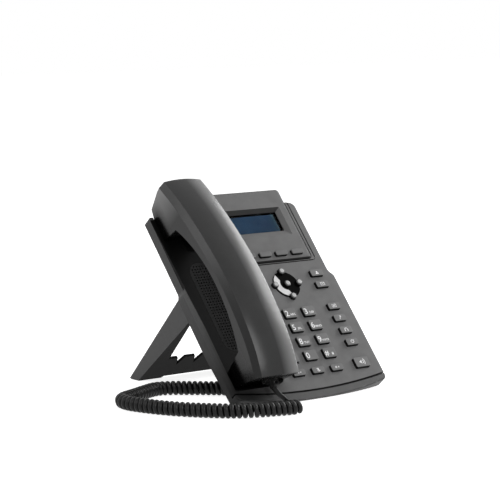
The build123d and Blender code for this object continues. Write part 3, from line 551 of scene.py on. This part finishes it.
# ------------------------------------------------------------------ meshes
class Builder:
    """Shared ways to turn curves and bmeshes into finished pieces."""

    @staticmethod
    def piece(
        name: str, mesh: bpy.types.Mesh, material: bpy.types.Material
    ) -> bpy.types.Object:
        """Makes a piece of a mesh.

        Args:
            name: the piece's name.
            mesh: its mesh, in the telephone's metres.
            material: its finish.

        Returns:
            The new object, linked to the scene.
        """
        obj = bpy.data.objects.new(name, mesh)
        bpy.context.scene.collection.objects.link(obj)
        obj.data.materials.clear()
        obj.data.materials.append(material)
        log.info("piece %s: %d faces", name, len(mesh.polygons))
        return obj

    @staticmethod
    def solid_from(curve: bpy.types.Curve) -> bpy.types.Mesh:
        """Turns a curve into a mesh and removes the curve.

        Args:
            curve: the curve.

        Returns:
            The new mesh.
        """
        holder = bpy.data.objects.new(curve.name, curve)
        bpy.context.scene.collection.objects.link(holder)
        bpy.context.view_layer.update()
        graph = bpy.context.evaluated_depsgraph_get()
        mesh = bpy.data.meshes.new_from_object(holder.evaluated_get(graph))
        bpy.data.objects.remove(holder)
        bpy.data.curves.remove(curve)
        return mesh

    @staticmethod
    def from_bmesh(name: str, build: bmesh.types.BMesh) -> bpy.types.Mesh:
        """Turns a bmesh into a mesh and frees the bmesh.

        Args:
            name: the mesh's name.
            build: the bmesh.

        Returns:
            The new mesh.
        """
        mesh = bpy.data.meshes.new(name)
        build.to_mesh(mesh)
        build.free()
        return mesh


# ------------------------------------------------------------------ cord
@dataclass(frozen=True)
class Stop:
    """A stop on the cord: the way gone, the place, the direction and whether the wire winds."""

    travelled: float
    centre: Vector
    along: Vector
    winding: bool


@dataclass
class CurlyCord:
    """The cord: a lead from the handset, the curl on the desk and a lead to the base."""

    diameter: float = 0.0044
    coil_diameter: float = 0.0126
    pitch: float = 0.00455
    turn_steps: int = 14
    ease: float = 0.0006
    waves: tuple[Spot, ...] = ((0.03, 90.0), (0.02, 231.0))
    route_steps: int = 40
    rings: int = 3
    handset_tail: Point = (-0.047, -0.007882, 0.015303)
    handset_run: Point = (-0.0466, -0.0098, 0.0130)
    lead_end: Point = (-0.0425, -0.0170, 0.0066)
    lead: tuple[Point, ...] = (
        (-0.0432, -0.0250, 0.0034),
        (-0.0455, -0.0330, 0.0028),
        (-0.0490, -0.0398, 0.0030),
    )
    # The doubled first point turns the lead sharply into the curl.
    coil: tuple[Spot, ...] = (
        (-0.0488, -0.0464),
        (-0.0488, -0.0464),
        (-0.0540, -0.0466),
        (-0.0600, -0.0460),
        (-0.0740, -0.0418),
        (-0.0880, -0.0368),
        (-0.1050, -0.0275),
        (-0.1250, -0.0050),
        (-0.1375, 0.0145),
        (-0.1465, 0.0355),
        (-0.1510, 0.0530),
        (-0.1495, 0.0645),
        (-0.1405, 0.0720),
        (-0.1270, 0.0765),
        (-0.1120, 0.0840),
        (-0.0975, 0.0895),
        (-0.0845, 0.0840),
        (-0.0700, 0.0710),
        (-0.0570, 0.0595),
        (-0.0475, 0.0501),
    )
    tail_start: Point = (-0.040747, 0.043418, 0.0059)
    tail: tuple[Point, ...] = (
        (-0.0330, 0.0385, 0.0092),
        (-0.0258, 0.0359, 0.0152),
        (-0.0198, 0.0369, 0.0229),
    )
    base_run: Point = (-0.0171, 0.041615, 0.031240)
    base_tail: Point = (-0.0171, 0.047847, 0.038410)
    seam: Point = (-0.0880, -0.0368, 0.0059)
    riser_length: float = 0.27
    desk_length: float = 1.42

    def route(self) -> list[Point]:
        """Lists the route.

        Returns:
            Its points, from the handset's plug to the base's.
        """
        height = self.coil_diameter / 2
        curl = [(x, y, height) for x, y in self.coil]
        start = [self.handset_tail, self.handset_run, self.lead_end, *self.lead]
        return start + curl + [self.tail_start, *self.tail, self.base_run, self.base_tail]

    @staticmethod
    def smooth(name: str, points: Iterable[Point], steps: int) -> bpy.types.Curve:
        """Makes one smooth line.

        Args:
            name: the curve's name.
            points: its control points.
            steps: how finely each span is divided.

        Returns:
            A curve of one open NURBS spline.
        """
        curve = bpy.data.curves.new(name, "CURVE")
        curve.dimensions = "3D"
        curve.resolution_u = steps
        spline = curve.splines.new("NURBS")
        places = [Vector(point) for point in points]
        spline.points.add(len(places) - 1)
        for knot, place in zip(spline.points, places):
            knot.co = (*place, 1.0)
        spline.order_u = 3
        spline.use_endpoint_u = True
        return curve

    def centre_line(self) -> list[Vector]:
        """Reads close points along the smooth route.

        Returns:
            The points, from the handset's plug to the base's.
        """
        mesh = Builder.solid_from(self.smooth("cord_route", self.route(), self.route_steps))
        line = [vertex.co.copy() for vertex in mesh.vertices]
        bpy.data.meshes.remove(mesh)
        return line

    def wire(self) -> tuple[list[Vector], int]:
        """Winds the wire round the centre line.

        Returns:
            The wire's points, and the place in them of the seam between the two pieces.
        """
        line = self.centre_line()
        spans = ((here - before).length for before, here in zip(line, line[1:]))
        walked = list(accumulate(spans, initial=0.0))
        height = self.coil_diameter / 2
        marks = ((*self.coil[0], height), (*self.coil[-1], height), self.seam)
        start, end, split = (walked[self.nearest(line, Vector(mark))] for mark in marks)
        points = [line[0]]
        seam = 0
        side = Vector((0.0, 1.0, 0.0))
        angle = 0.0
        for stop in self.stops(line, walked, start, end):
            side = (side - stop.along * side.dot(stop.along)).normalized()
            if stop.winding:
                angle += math.tau / self.turn_steps
            turn = side * math.cos(angle) + stop.along.cross(side) * math.sin(angle)
            points.append(stop.centre + turn * self.reach_at(stop.travelled, start, end))
            if stop.travelled <= split:
                seam = len(points) - 1
        return points, seam

    def stops(
        self, line: list[Vector], walked: list[float], start: float, end: float
    ) -> Iterator[Stop]:
        """Walks along the centre line, in short steps in the curl and longer ones outside.

        Args:
            line: the points of the centre line.
            walked: the distance along the line to each of them.
            start: where the curl starts.
            end: where it ends.

        Yields:
            Each stop on the way.
        """
        travelled = 0.0
        index = 1
        while travelled < walked[-1]:
            winding = start < travelled < end
            step = self.step_at(travelled) if winding else self.diameter
            travelled = min(travelled + step, walked[-1])
            while index < len(line) - 1 and walked[index] < travelled:
                index += 1
            share = (travelled - walked[index - 1]) / (walked[index] - walked[index - 1])
            centre = line[index - 1].lerp(line[index], share)
            along = (line[index] - line[index - 1]).normalized()
            yield Stop(travelled, centre, along, winding)

    @staticmethod
    def nearest(line: list[Vector], place: Vector) -> int:
        """The index of the point of a line that is nearest to a place."""
        return min(range(len(line)), key=lambda index: (line[index] - place).length)

    def step_at(self, travelled: float) -> float:
        """How far one step of a turn moves along the curl; the turns are a little uneven."""
        wave = sum(size * math.sin(travelled * rate) for size, rate in self.waves)
        return self.pitch / self.turn_steps * (1.0 + wave)

    def reach_at(self, travelled: float, start: float, end: float) -> float:
        """Finds how far the wire lies from the centre line.

        Args:
            travelled: the distance along the line.
            start: where the curl starts.
            end: where it ends.

        Returns:
            The distance: none in the leads, full in the curl, and eased between.
        """
        full = (self.coil_diameter - self.diameter) / 2
        into = min(travelled - start, end - travelled) / self.ease
        share = max(0.0, min(1.0, into))
        return full * share * share * (3.0 - 2.0 * share)

    def build(self, jacket: bpy.types.Material) -> None:
        """Makes the cord's two pieces: the one that the handset lifts, and the rest.

        Args:
            jacket: the finish of both.
        """
        points, seam = self.wire()
        line = self.tube("cord_riser", points[: seam + 2], jacket)
        riser = Builder.piece("cord_riser", Builder.solid_from(line), jacket)
        rest = bpy.data.objects.new("cord_on_desk", self.tube("rest", points[seam:], jacket))
        bpy.context.scene.collection.objects.link(rest)
        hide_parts("handset_lead")
        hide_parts("cord_curl", "base_lead")
        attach(rest, "base")
        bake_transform(riser)

    def tube(
        self, name: str, points: list[Vector], jacket: bpy.types.Material
    ) -> bpy.types.Curve:
        """Makes a round cord along points.

        Args:
            name: the curve's name.
            points: the wire's points.
            jacket: its finish.

        Returns:
            The curve.
        """
        curve = self.smooth(name, points, 2)
        curve.bevel_depth = self.diameter / 2
        curve.bevel_resolution = self.rings
        curve.use_fill_caps = True
        curve.materials.append(jacket)
        walked = sum((b - a).length for a, b in zip(points, points[1:]))
        log.info("piece %s: %.3f m of cord", name, walked)
        return curve


# ------------------------------------------------------------------ key printing
@dataclass(frozen=True)
class Legend:
    """What is printed on one key: a main mark, small letters, strokes and filled shapes, in mm."""

    main: str = ""
    small: str = ""
    strokes: tuple[Outline, ...] = ()
    shapes: tuple[Outline, ...] = ()
    main_size: float = 7.9
    small_size: float = 2.9
    scale: float = 1.0


def arc(x: float, y: float, radius: float, start: float, end: float, steps: int = 14) -> Outline:
    """Points on a round stroke.

    Args:
        x: the centre across.
        y: the centre upwards.
        radius: the radius.
        start: the first angle in degrees.
        end: the last angle in degrees.
        steps: the number of its straight parts.

    Returns:
        The stroke's points.
    """
    angles = [math.radians(start + (end - start) * i / steps) for i in range(steps + 1)]
    return tuple((x + radius * math.cos(a), y + radius * math.sin(a)) for a in angles)


def bar(left: float, low: float, right: float, high: float) -> Outline:
    """The corners of an upright rectangle."""
    return ((left, low), (right, low), (right, high), (left, high))


HORN = ((-2.4, -0.6), (-1.5, -0.6), (-0.3, -1.7), (-0.3, 1.7), (-1.5, 0.6), (-2.4, 0.6))
SMALL_HORN = tuple((x * 0.75 - 0.5, y * 0.75) for x, y in HORN)
MINUS = bar(0.5, -0.25, 2.2, 0.25)
PLUS = bar(1.1, -0.85, 1.6, 0.85)
ENVELOPE = (*bar(-2.1, -1.4, 2.1, 1.4), (-2.1, -1.4))
FLAP = ((-2.1, 1.4), (0.0, -0.3), (2.1, 1.4))
LETTERS = ("", "ABC", "DEF", "GHI", "JKL", "MNO", "PQRS", "TUV", "WXYZ")
NUMBERS = {f"key_{key}": Legend(str(key), letters) for key, letters in enumerate(LETTERS, 1)}
LEGENDS: dict[str, Legend] = NUMBERS | {
    "key_0": Legend("0"),
    "key_star": Legend("*"),
    "key_hash": Legend(
        "#",
        strokes=(arc(2.4, -1.0, 0.7, 0, 180),),
        shapes=(bar(1.5, -2.6, 3.3, -1.0),),
        main_size=7.0,
    ),
    "key_volume_down": Legend(shapes=(SMALL_HORN, MINUS)),
    "key_volume_up": Legend(shapes=(SMALL_HORN, MINUS, PLUS)),
    "key_mute": Legend(
        strokes=(
            arc(0.0, 0.0, 1.3, 190, 350),
            ((0.0, -1.3), (0.0, -2.0)),
            ((-1.6, 1.4), (1.5, -1.5)),
        ),
        shapes=(bar(-0.55, -0.5, 0.55, 1.7),),
    ),
    "key_speaker": Legend(
        strokes=(arc(-0.7, 0.0, 1.9, -48, 48), arc(-0.7, 0.0, 3.2, -48, 48)),
        shapes=(HORN,),
        scale=1.15,
    ),
    "key_voicemail": Legend(strokes=(ENVELOPE, FLAP)),
    "key_contacts": Legend(shapes=(arc(0.0, 0.7, 0.85, 0, 330), arc(0.0, -1.5, 1.7, 0, 180))),
    "key_hold": Legend(
        strokes=(ENVELOPE,),
        shapes=(bar(-1.1, -0.8, -0.3, 0.8), bar(0.3, -0.8, 1.1, 0.8)),
    ),
    "key_transfer": Legend(
        strokes=(((-0.9, -1.6), (0.7, 1.5)), ((-0.3, 1.5), (0.8, 1.6), (1.2, 0.6))),
    ),
    "key_headset": Legend(
        strokes=(arc(0.0, -0.1, 1.5, 0, 180),),
        shapes=(bar(-1.9, -1.6, -1.1, 0.0), bar(1.1, -1.6, 1.9, 0.0)),
    ),
    "key_redial": Legend(
        strokes=(arc(0.0, 0.0, 1.5, 50, 380), ((2.0, 1.6), (1.4, 0.5), (0.3, 1.2))),
    ),
}


@dataclass
class KeyPrinting:
    """The white printing on the keys."""

    top: float = 2.6
    thickness: float = 0.02
    stroke_width: float = 0.55
    weight: float = 0.1
    main_shift: Spot = (-3.6, -0.5)
    small_shift: Spot = (2.1, -1.7)
    crowded: int = 4
    narrowing: float = 0.85
    text_steps: int = 4
    ink: Plastic = Plastic("white_ink", (0.8, 0.8, 0.8), Sheen.SATIN, mottling=0.02)

    def build(self) -> None:
        """Prints every key."""
        ink = self.ink.material()
        for node, legend in LEGENDS.items():
            mesh = self.joined(f"print_{node}", self.parts(legend))
            low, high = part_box(node)
            middle = DECK.matrix().inverted() @ ((Vector(low) + Vector(high)) / 2)
            place = DECK.matrix() @ Matrix.Translation((middle.x, middle.y, self.top))
            mesh.transform(place)
            obj = Builder.piece(f"print_{node}", mesh, ink)
            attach(obj, f"{node}_body")

    def parts(self, legend: Legend) -> list[bpy.types.Mesh]:
        """Makes the marks of one legend.

        Args:
            legend: what is printed.

        Returns:
            Their meshes, in millimetres about the key's middle.
        """
        made = []
        if legend.main:
            made.append(self.text(legend.main, legend.main_size, self.main_shift, self.weight))
        if legend.small:
            squeeze = self.narrowing if len(legend.small) >= self.crowded else 1.0
            size = legend.small_size * squeeze
            made.append(self.text(legend.small, size, self.small_shift, self.weight / 2))
        made.extend(self.shape(outline) for outline in legend.shapes)
        made.extend(self.stroke(stroke) for stroke in legend.strokes)
        for mesh in made:
            mesh.transform(Matrix.Diagonal((legend.scale, legend.scale, 1.0, 1.0)))
        return made

    def text(self, body: str, size: float, middle: Spot, weight: float) -> bpy.types.Mesh:
        """Makes raised text.

        Args:
            body: the characters.
            size: the letter height setting.
            middle: where its middle lies on the key.
            weight: how far its outlines are thickened.

        Returns:
            The text's mesh.
        """
        curve = bpy.data.curves.new("legend", "FONT")
        curve.body = body
        curve.size = size
        curve.align_x = "CENTER"
        curve.align_y = "CENTER"
        curve.extrude = self.thickness / 2
        curve.offset = weight
        curve.resolution_u = self.text_steps
        mesh = Builder.solid_from(curve)
        mesh.transform(Matrix.Translation((*middle, self.thickness / 2)))
        return mesh

    def shape(self, outline: Outline) -> bpy.types.Mesh:
        """Makes one filled shape as a thin plate.

        Args:
            outline: its corners.

        Returns:
            The plate's mesh.
        """
        build = bmesh.new()
        corners = [build.verts.new((x, y, 0.0)) for x, y in outline]
        face = build.faces.new(corners)
        raised = bmesh.ops.extrude_face_region(build, geom=[face])["geom"]
        tops = [part for part in raised if isinstance(part, bmesh.types.BMVert)]
        bmesh.ops.translate(build, verts=tops, vec=(0.0, 0.0, self.thickness))
        bmesh.ops.recalc_face_normals(build, faces=build.faces)
        return Builder.from_bmesh("shape", build)

    def stroke(self, points: Outline) -> bpy.types.Mesh:
        """Makes one drawn line as a thin flat ribbon.

        Args:
            points: the line's corners.

        Returns:
            The ribbon's mesh.
        """
        curve = bpy.data.curves.new("stroke", "CURVE")
        curve.dimensions = "3D"
        curve.bevel_depth = self.stroke_width / 2
        curve.bevel_resolution = 1
        curve.use_fill_caps = True
        spline = curve.splines.new("POLY")
        spline.points.add(len(points) - 1)
        for knot, (x, y) in zip(spline.points, points):
            knot.co = (x, y, 0.0, 1.0)
        mesh = Builder.solid_from(curve)
        flat = self.thickness / self.stroke_width
        lift = Matrix.Translation((0.0, 0.0, self.thickness / 2))
        mesh.transform(lift @ Matrix.Diagonal((1.0, 1.0, flat, 1.0)))
        return mesh

    @staticmethod
    def joined(name: str, parts: list[bpy.types.Mesh]) -> bpy.types.Mesh:
        """Joins meshes into one.

        Args:
            name: the new mesh's name.
            parts: the meshes, which are used up.

        Returns:
            The new mesh.
        """
        build = bmesh.new()
        for part in parts:
            build.from_mesh(part)
            bpy.data.meshes.remove(part)
        return Builder.from_bmesh(name, build)


# ------------------------------------------------------------------ studio
@dataclass(frozen=True)
class Lamp:
    """A square soft lamp: its name, where it hangs, its side in metres and its power in watts."""

    name: str
    place: Point
    size: float
    power: float

    def hang(self, aim: Point) -> None:
        """Makes the lamp.

        Args:
            aim: the place that it faces.
        """
        light = bpy.data.lights.new(self.name, "AREA")
        light.size = self.size
        light.energy = self.power
        lamp = bpy.data.objects.new(self.name, light)
        turn = (Vector(aim) - Vector(self.place)).to_track_quat("-Z", "Y")
        lamp.matrix_world = Matrix.Translation(self.place) @ turn.to_matrix().to_4x4()
        bpy.context.scene.collection.objects.link(lamp)


@dataclass
class Studio:
    """A plain pale floor, soft lights, a white surround and the camera."""

    azimuth: float = math.radians(37.25)
    elevation: float = math.radians(7.07)
    roll: float = math.radians(-0.4)
    distance: float = 1.80106
    target: Point = (0.0, 0.0575, 0.070)
    slide: Spot = (-0.01653, 0.04935)
    focal: float = 151.296
    sensor: float = 36.0
    farthest: float = 20.0
    ambient: float = 0.24
    floor_reach: float = 6.0
    floor_grey: float = 0.8
    floor_glow: float = 0.86
    middle: Point = (-0.02, 0.06, 0.08)
    lamps: tuple[Lamp, ...] = (
        Lamp("key_light", (0.1, -1.3, 1.1), 0.8, 11.0),
        Lamp("side_light", (1.4, 0.05, 0.75), 1.0, 20.0),
        Lamp("left_light", (-1.3, 0.3, 1.1), 0.7, 5.0),
    )

    def build(self) -> None:
        """Sets up everything around the telephone."""
        self.camera()
        self.world()
        self.floor()
        for lamp in self.lamps:
            lamp.hang(self.middle)
        bpy.context.scene.view_settings.view_transform = "Standard"

    def camera(self) -> None:
        """Places the camera."""
        flat = math.cos(self.elevation)
        across, ahead = math.sin(self.azimuth), math.cos(self.azimuth)
        back = Vector((-across * flat, -ahead * flat, math.sin(self.elevation)))
        right = (-back).cross(Vector((0.0, 0.0, 1.0))).normalized()
        up = right.cross(-back)
        place = Vector(self.target) + right * self.slide[0] + up * self.slide[1]
        place = place + back * self.distance
        level, tilt = math.cos(self.roll), math.sin(self.roll)
        axes = (right * level + up * tilt, up * level - right * tilt, back)
        lens = bpy.data.cameras.new("camera")
        lens.lens = self.focal
        lens.sensor_width = self.sensor
        lens.clip_end = self.farthest
        eye = bpy.data.objects.new("camera", lens)
        turn = Matrix([axis[:] for axis in axes]).transposed().to_4x4()
        eye.matrix_world = Matrix.Translation(place) @ turn
        bpy.context.scene.collection.objects.link(eye)
        bpy.context.scene.camera = eye

    def world(self) -> None:
        """Makes the surround: white where it is seen, grey as light."""
        world = bpy.data.worlds.new("surround")
        world.use_nodes = True
        bpy.context.scene.world = world
        tree = NodeTree(world.node_tree, "ShaderNodeOutputWorld")
        white = {"Color": (*grey(1.0), 1.0)}
        light = tree.add("ShaderNodeBackground", white | {"Strength": self.ambient})
        tree.show(light, tree.add("ShaderNodeBackground", white))

    def floor(self) -> None:
        """Makes a wide pale floor that keeps a faint shadow."""
        build = bmesh.new()
        bmesh.ops.create_grid(build, x_segments=1, y_segments=1, size=self.floor_reach)
        material = bpy.data.materials.new("floor")
        material.use_nodes = True
        tree = NodeTree(material.node_tree, "ShaderNodeOutputMaterial")
        paint = tree.add("ShaderNodeBsdfDiffuse", {"Color": (*grey(self.floor_grey), 1.0)})
        glow = tree.add("ShaderNodeEmission", {"Strength": self.floor_glow})
        both = tree.add("ShaderNodeAddShader", {0: paint.outputs[0], 1: glow.outputs[0]})
        tree.show(paint, both)
        Builder.piece("floor", Builder.from_bmesh("floor", build), material)


# ------------------------------------------------------------------ finishes of the nodes
# The places and directions that tones share or name; places are in mm on the deck.
PANEL_REACH = Band(UP_DECK, 128.0, 190.0)
PANEL_WIDTH = Band(ACROSS, -22.0, 66.0)
KEY_FIELD = (Band(ACROSS, -22.0, 70.0), Band(UP_DECK, 4.0, 190.0))
CHIN_FOOT = Band(UP_DECK, high=7.0, soft=8.0)
CRADLE_SHADE_FOOT = Band(UP_DECK, 7.0)
LOW_SLOPE = Band(UP_DECK, high=50.0, soft=90.0)
LOW_DOWN = Band(HEIGHT, high=36.0, soft=80.0)
SUNK = Band(OUT, high=-0.1, soft=0.1)
UNDERSIDE = Band(DOWNWARD, 0.25, soft=0.2)
LEFT_SIDE = Band(LEFTWARD, 0.9, soft=0.1)
NOT_UPRIGHT = Band(RIGHTWARD, high=0.5)
UNDER_THE_EAR = Band(UP_DECK, high=192.0, soft=14.0)
LOW_HANDSET = Band(UP_DECK, high=90.0, soft=60.0)
CRESCENT_RING = Band(Away(24.2, 103.2), 6.3, 12.3)
CRESCENT_SIDE = Band(Along(DECK.slant(0.922, 0.388)), high=59.25)


@dataclass
class Wardrobe:
    """Gives every carried-over node its finish."""

    deck: Plastic = Plastic(
        "deck_plastic",
        grey(0.155),
        specular=0.06,
        tones=(
            # Painted shade towards the deck's front corner on the left and low down on its left.
            Tone("painted shade at the front left", grey(0.02), (Band(ACROSS, high=-40.0, soft=50.0), CHIN_FOOT)),
            Tone("painted shade on the left wall", grey(0.012), (Band(ACROSS, high=-66.0, soft=20.0), LOW_SLOPE)),
            # Painted shade in the cradle, under and beside the handset.
            Tone("lining's foot", SHADE, (Band(ACROSS, -78.6, -37.0, soft=6.0), CRADLE_SHADE_FOOT)),
            Tone("painted shade in the cradle", SHADE, (Band(ACROSS, -78.6, -25.2), Band(UP_DECK, 18.5, soft=1.5))),
            # Painted shade in the gaps round the panel, at the chin's seam and round the keys.
            Tone("painted shade in the gap beside the panel", JET, (Band(ACROSS, 68.5, 69.7), PANEL_REACH)),
            Tone("painted shade in the gap below the panel", JET, (Band(UP_DECK, 124.6, 125.6), PANEL_WIDTH)),
            Tone("painted shade at the chin's edge", JET, (Band(CHIN_LINE, 492.5, soft=0.2),)),
            Tone("painted shade in the key openings", JET, (Band(OUT, high=-0.15), *KEY_FIELD)),
            # Painted shade: a dark dot for a small opening for the microphone, which has no
            # geometry.
            Tone("painted shade of a microphone hole", JET, (Band(Away(-3.6, 24.9), high=0.7, soft=0.2),)),
        ),
    )
    bezel: Plastic = Plastic(
        "bezel_plastic",
        grey(0.14),
        specular=0.1,
        tones=(
            # Painted shade on the bezel: on the window's top bevel, in its grooves, on its faces
            # turned right and down, and along the lines and rims round the panel.
            Tone("painted shade on the window's top edge", grey(0.03), (UNDERSIDE, Band(UP_DECK, 176.0, 186.0))),
            Tone("painted shade in the groove beside", SHADE, (SUNK, Band(ACROSS, 63.0))),
            Tone("painted shade in the groove below", SHADE, (SUNK, Band(UP_DECK, high=130.0))),
            Tone("right side", SHADE, (Band(RIGHTWARD, 0.2, soft=0.2), Band(ACROSS, 64.0))),
            Tone("lower side", SHADE, (Band(DOWNWARD, 0.2, soft=0.2), Band(UP_DECK, high=128.4))),
            Tone("line beside", SHADE, (Band(ACROSS, 65.2, 66.5), Band(UP_DECK, 130.0))),
            Tone("line below", SHADE, (Band(UP_DECK, 126.1, 127.5), Band(ACROSS, high=63.0))),
            Tone("right rim", SHADE, (Band(ACROSS, 68.4), Band(UP_DECK, 128.0))),
            Tone("lower rim", SHADE, (Band(UP_DECK, high=125.7), Band(ACROSS, high=66.0))),
            Tone("top rim", SHADE, (Band(UP_DECK, 201.4), Band(OUT, -0.8))),
        ),
    )
    case: Plastic = Plastic(
        "case_plastic",
        grey(0.075),
        specular=0.15,
        tones=(
            # Painted shade in the chin's seam, on the floor of the tub seen through the grille,
            # and towards the front corner and low down on the left.
            Tone("painted shade in the chin's groove", JET, (Band(CHIN_LINE, 492.0, 494.5, soft=0.2), Band(OUT, -6.0))),
            Tone("painted shade on the tub's floor", JET, (Band(OUT, -24.0, -9.4), Band(ACROSS, -66.0, -28.0))),
            Tone("painted shade at the front left", grey(0.012), (Band(ACROSS, high=-40.0, soft=50.0), CHIN_FOOT)),
            Tone("painted shade on the left wall", grey(0.008), (Band(ACROSS, high=-60.0, soft=30.0), LOW_DOWN)),
        ),
    )
    handset: Plastic = Plastic(
        "handset_plastic",
        grey(0.023),
        Sheen.POLISHED,
        specular=0.25,
        tones=(
            # Painted shade on the chamfer and the face on the left.
            Tone("painted shade on the left chamfer", grey(0.012), (Band(LEFTWARD, 0.4, soft=0.1),)),
            Tone("left side", grey(0.02), (LEFT_SIDE,)),
            # Painted light brightens the ear's face on the left.
            Tone("painted light on the ear end's left side", grey(0.3), (LEFT_SIDE, Band(UP_DECK, 184.0, soft=34.0))),
            # Painted highlights: a brighter band towards the right of the crown and a near white
            # line at its edge.
            Tone("painted highlight on the crown's right", grey(0.24), (Band(RIGHTWARD, 0.12, soft=0.2), NOT_UPRIGHT)),
            Tone("painted highlight on the crown's edge", grey(0.75), (Band(RIGHTWARD, 0.2, soft=0.02), NOT_UPRIGHT)),
            # Painted shade under the handset and on the end at the mouth.
            Tone("underside", JET, (Band(OUT, high=4.0, soft=10.0), UNDER_THE_EAR)),
            Tone("painted shade on the mouth end", JET, (Band(OUT, high=17.0, soft=20.0), LOW_HANDSET)),
        ),
    )
    # Painted shade: the stand is painted near black for the shade under the base, and keeps its
    # own grey only on the outer cheeks.
    stand: Plastic = Plastic(
        "stand_plastic",
        grey(0.006),
        specular=0.03,
        tones=(
            Tone("left cheek", grey(0.15), (Band(LEFTWARD, 0.5), Band(ACROSS, high=-60.0))),
            Tone("right cheek", grey(0.15), (Band(RIGHTWARD, 0.5), Band(ACROSS, 60.0))),
        ),
    )
    keys: Plastic = Plastic(
        "key_plastic",
        grey(0.165),
        specular=0.12,
        # Painted shade on the key sides, below the tops.
        tones=(Tone("painted shade on the sides", JET, (Band(OUT, high=2.35, soft=0.1),)),),
    )
    panel_keys: Plastic = Plastic(
        "soft_key_plastic",
        grey(0.15),
        specular=0.12,
        # Painted shade on the key sides, below the tops.
        tones=(Tone("painted shade on the sides", JET, (Band(OUT, high=3.0, soft=0.1),)),),
    )
    buttons: Plastic = Plastic(
        "nav_button",
        grey(0.13),
        Sheen.GLOSSY,
        relief=0.0,
        mottling=0.02,
        tones=(
            # Painted shade low on the domes.
            Tone("painted shade on the sides", SHADE, (Band(OUT, high=2.7, soft=0.8),)),
            # A painted highlight on the tops of the domes.
            Tone("top", grey(0.5), (Band(OUT, 3.36, soft=0.06),)),
        ),
    )
    gloss: Plastic = Plastic(
        "gloss_black",
        JET,
        Sheen.GLOSSY,
        relief=0.0,
        mottling=0.02,
        specular=0.03,
        # A painted reflection: a light crescent-shaped patch on the glossy plate.
        tones=(Tone("painted reflection in a pale crescent", grey(0.8), (CRESCENT_RING, CRESCENT_SIDE)),),
    )
    grille: Plastic = Plastic(
        "grille_black",
        grey(0.032),
        Sheen.MATT,
        specular=0.05,
        # Painted shade deep in the grille's holes.
        tones=(Tone("painted shade in the holes", grey(0.001), (Band(OUT, high=-7.6, soft=0.1),)),),
    )
    # Painted shade: the parts that sit in shade inside the telephone are painted black.
    hidden: Plastic = Plastic("cradle_black", JET, Sheen.MATT, specular=0.02)
    sockets: Plastic = Plastic("jack_black", grey(0.02), Sheen.MATT)
    rubber: Plastic = Plastic(
        "foot_rubber", grey(0.02), Sheen.MATT, grain=0.0004, relief=0.00003
    )
    mat: Plastic = Plastic("key_rubber", grey(0.25), Sheen.MATT)
    board: Plastic = Plastic("circuit_board", (0.02, 0.12, 0.05), Sheen.SILKY)
    plug: Plastic = Plastic("plug_clear", grey(0.03), Sheen.GLOSSY, relief=0.0)
    pane: Pane = Pane("screen_window")
    display: CrystalDisplay = CrystalDisplay("lcd_panel")
    screw: Metal = Metal("screw_steel", (0.5, 0.5, 0.52))
    in_shade: ClassVar[tuple[str, ...]] = ("hook_lever", "loudspeaker", "earpiece_capsule")

    def build(self) -> None:
        """Dresses the nodes by their material slot."""
        made = {}
        for finish in vars(self).values():
            made[finish.name] = finish.material()
        for row in frame["record"]["subparts"]:
            name = row["node"]
            slot = row["material_slot"]
            if name.startswith("soft_key"):
                slot = self.panel_keys.name
            if name in self.in_shade:
                slot = self.hidden.name
            if slot in made:
                self.dress(frame["nodes"][name], made[slot])

    @staticmethod
    def dress(node: bpy.types.Object, material: bpy.types.Material) -> None:
        """Puts a finish in a node's slots.

        Args:
            node: the carried-over node.
            material: its finish.
        """
        for slot in node.material_slots:
            slot.material = material
        log.info("node %s: %s", node.name, material.name)


def main() -> None:
    """Builds the studio, the cord and the dressed pieces in order."""
    logging.basicConfig(level=logging.INFO, format="%(message)s")
    Studio().build()
    jacket = Plastic("cord_jacket", grey(0.008), Sheen.SILKY, relief=0.0, specular=0.2)
    CurlyCord().build(jacket.material())
    Wardrobe().build()
    KeyPrinting().build()
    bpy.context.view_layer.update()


if __name__ == "__main__":
    main()
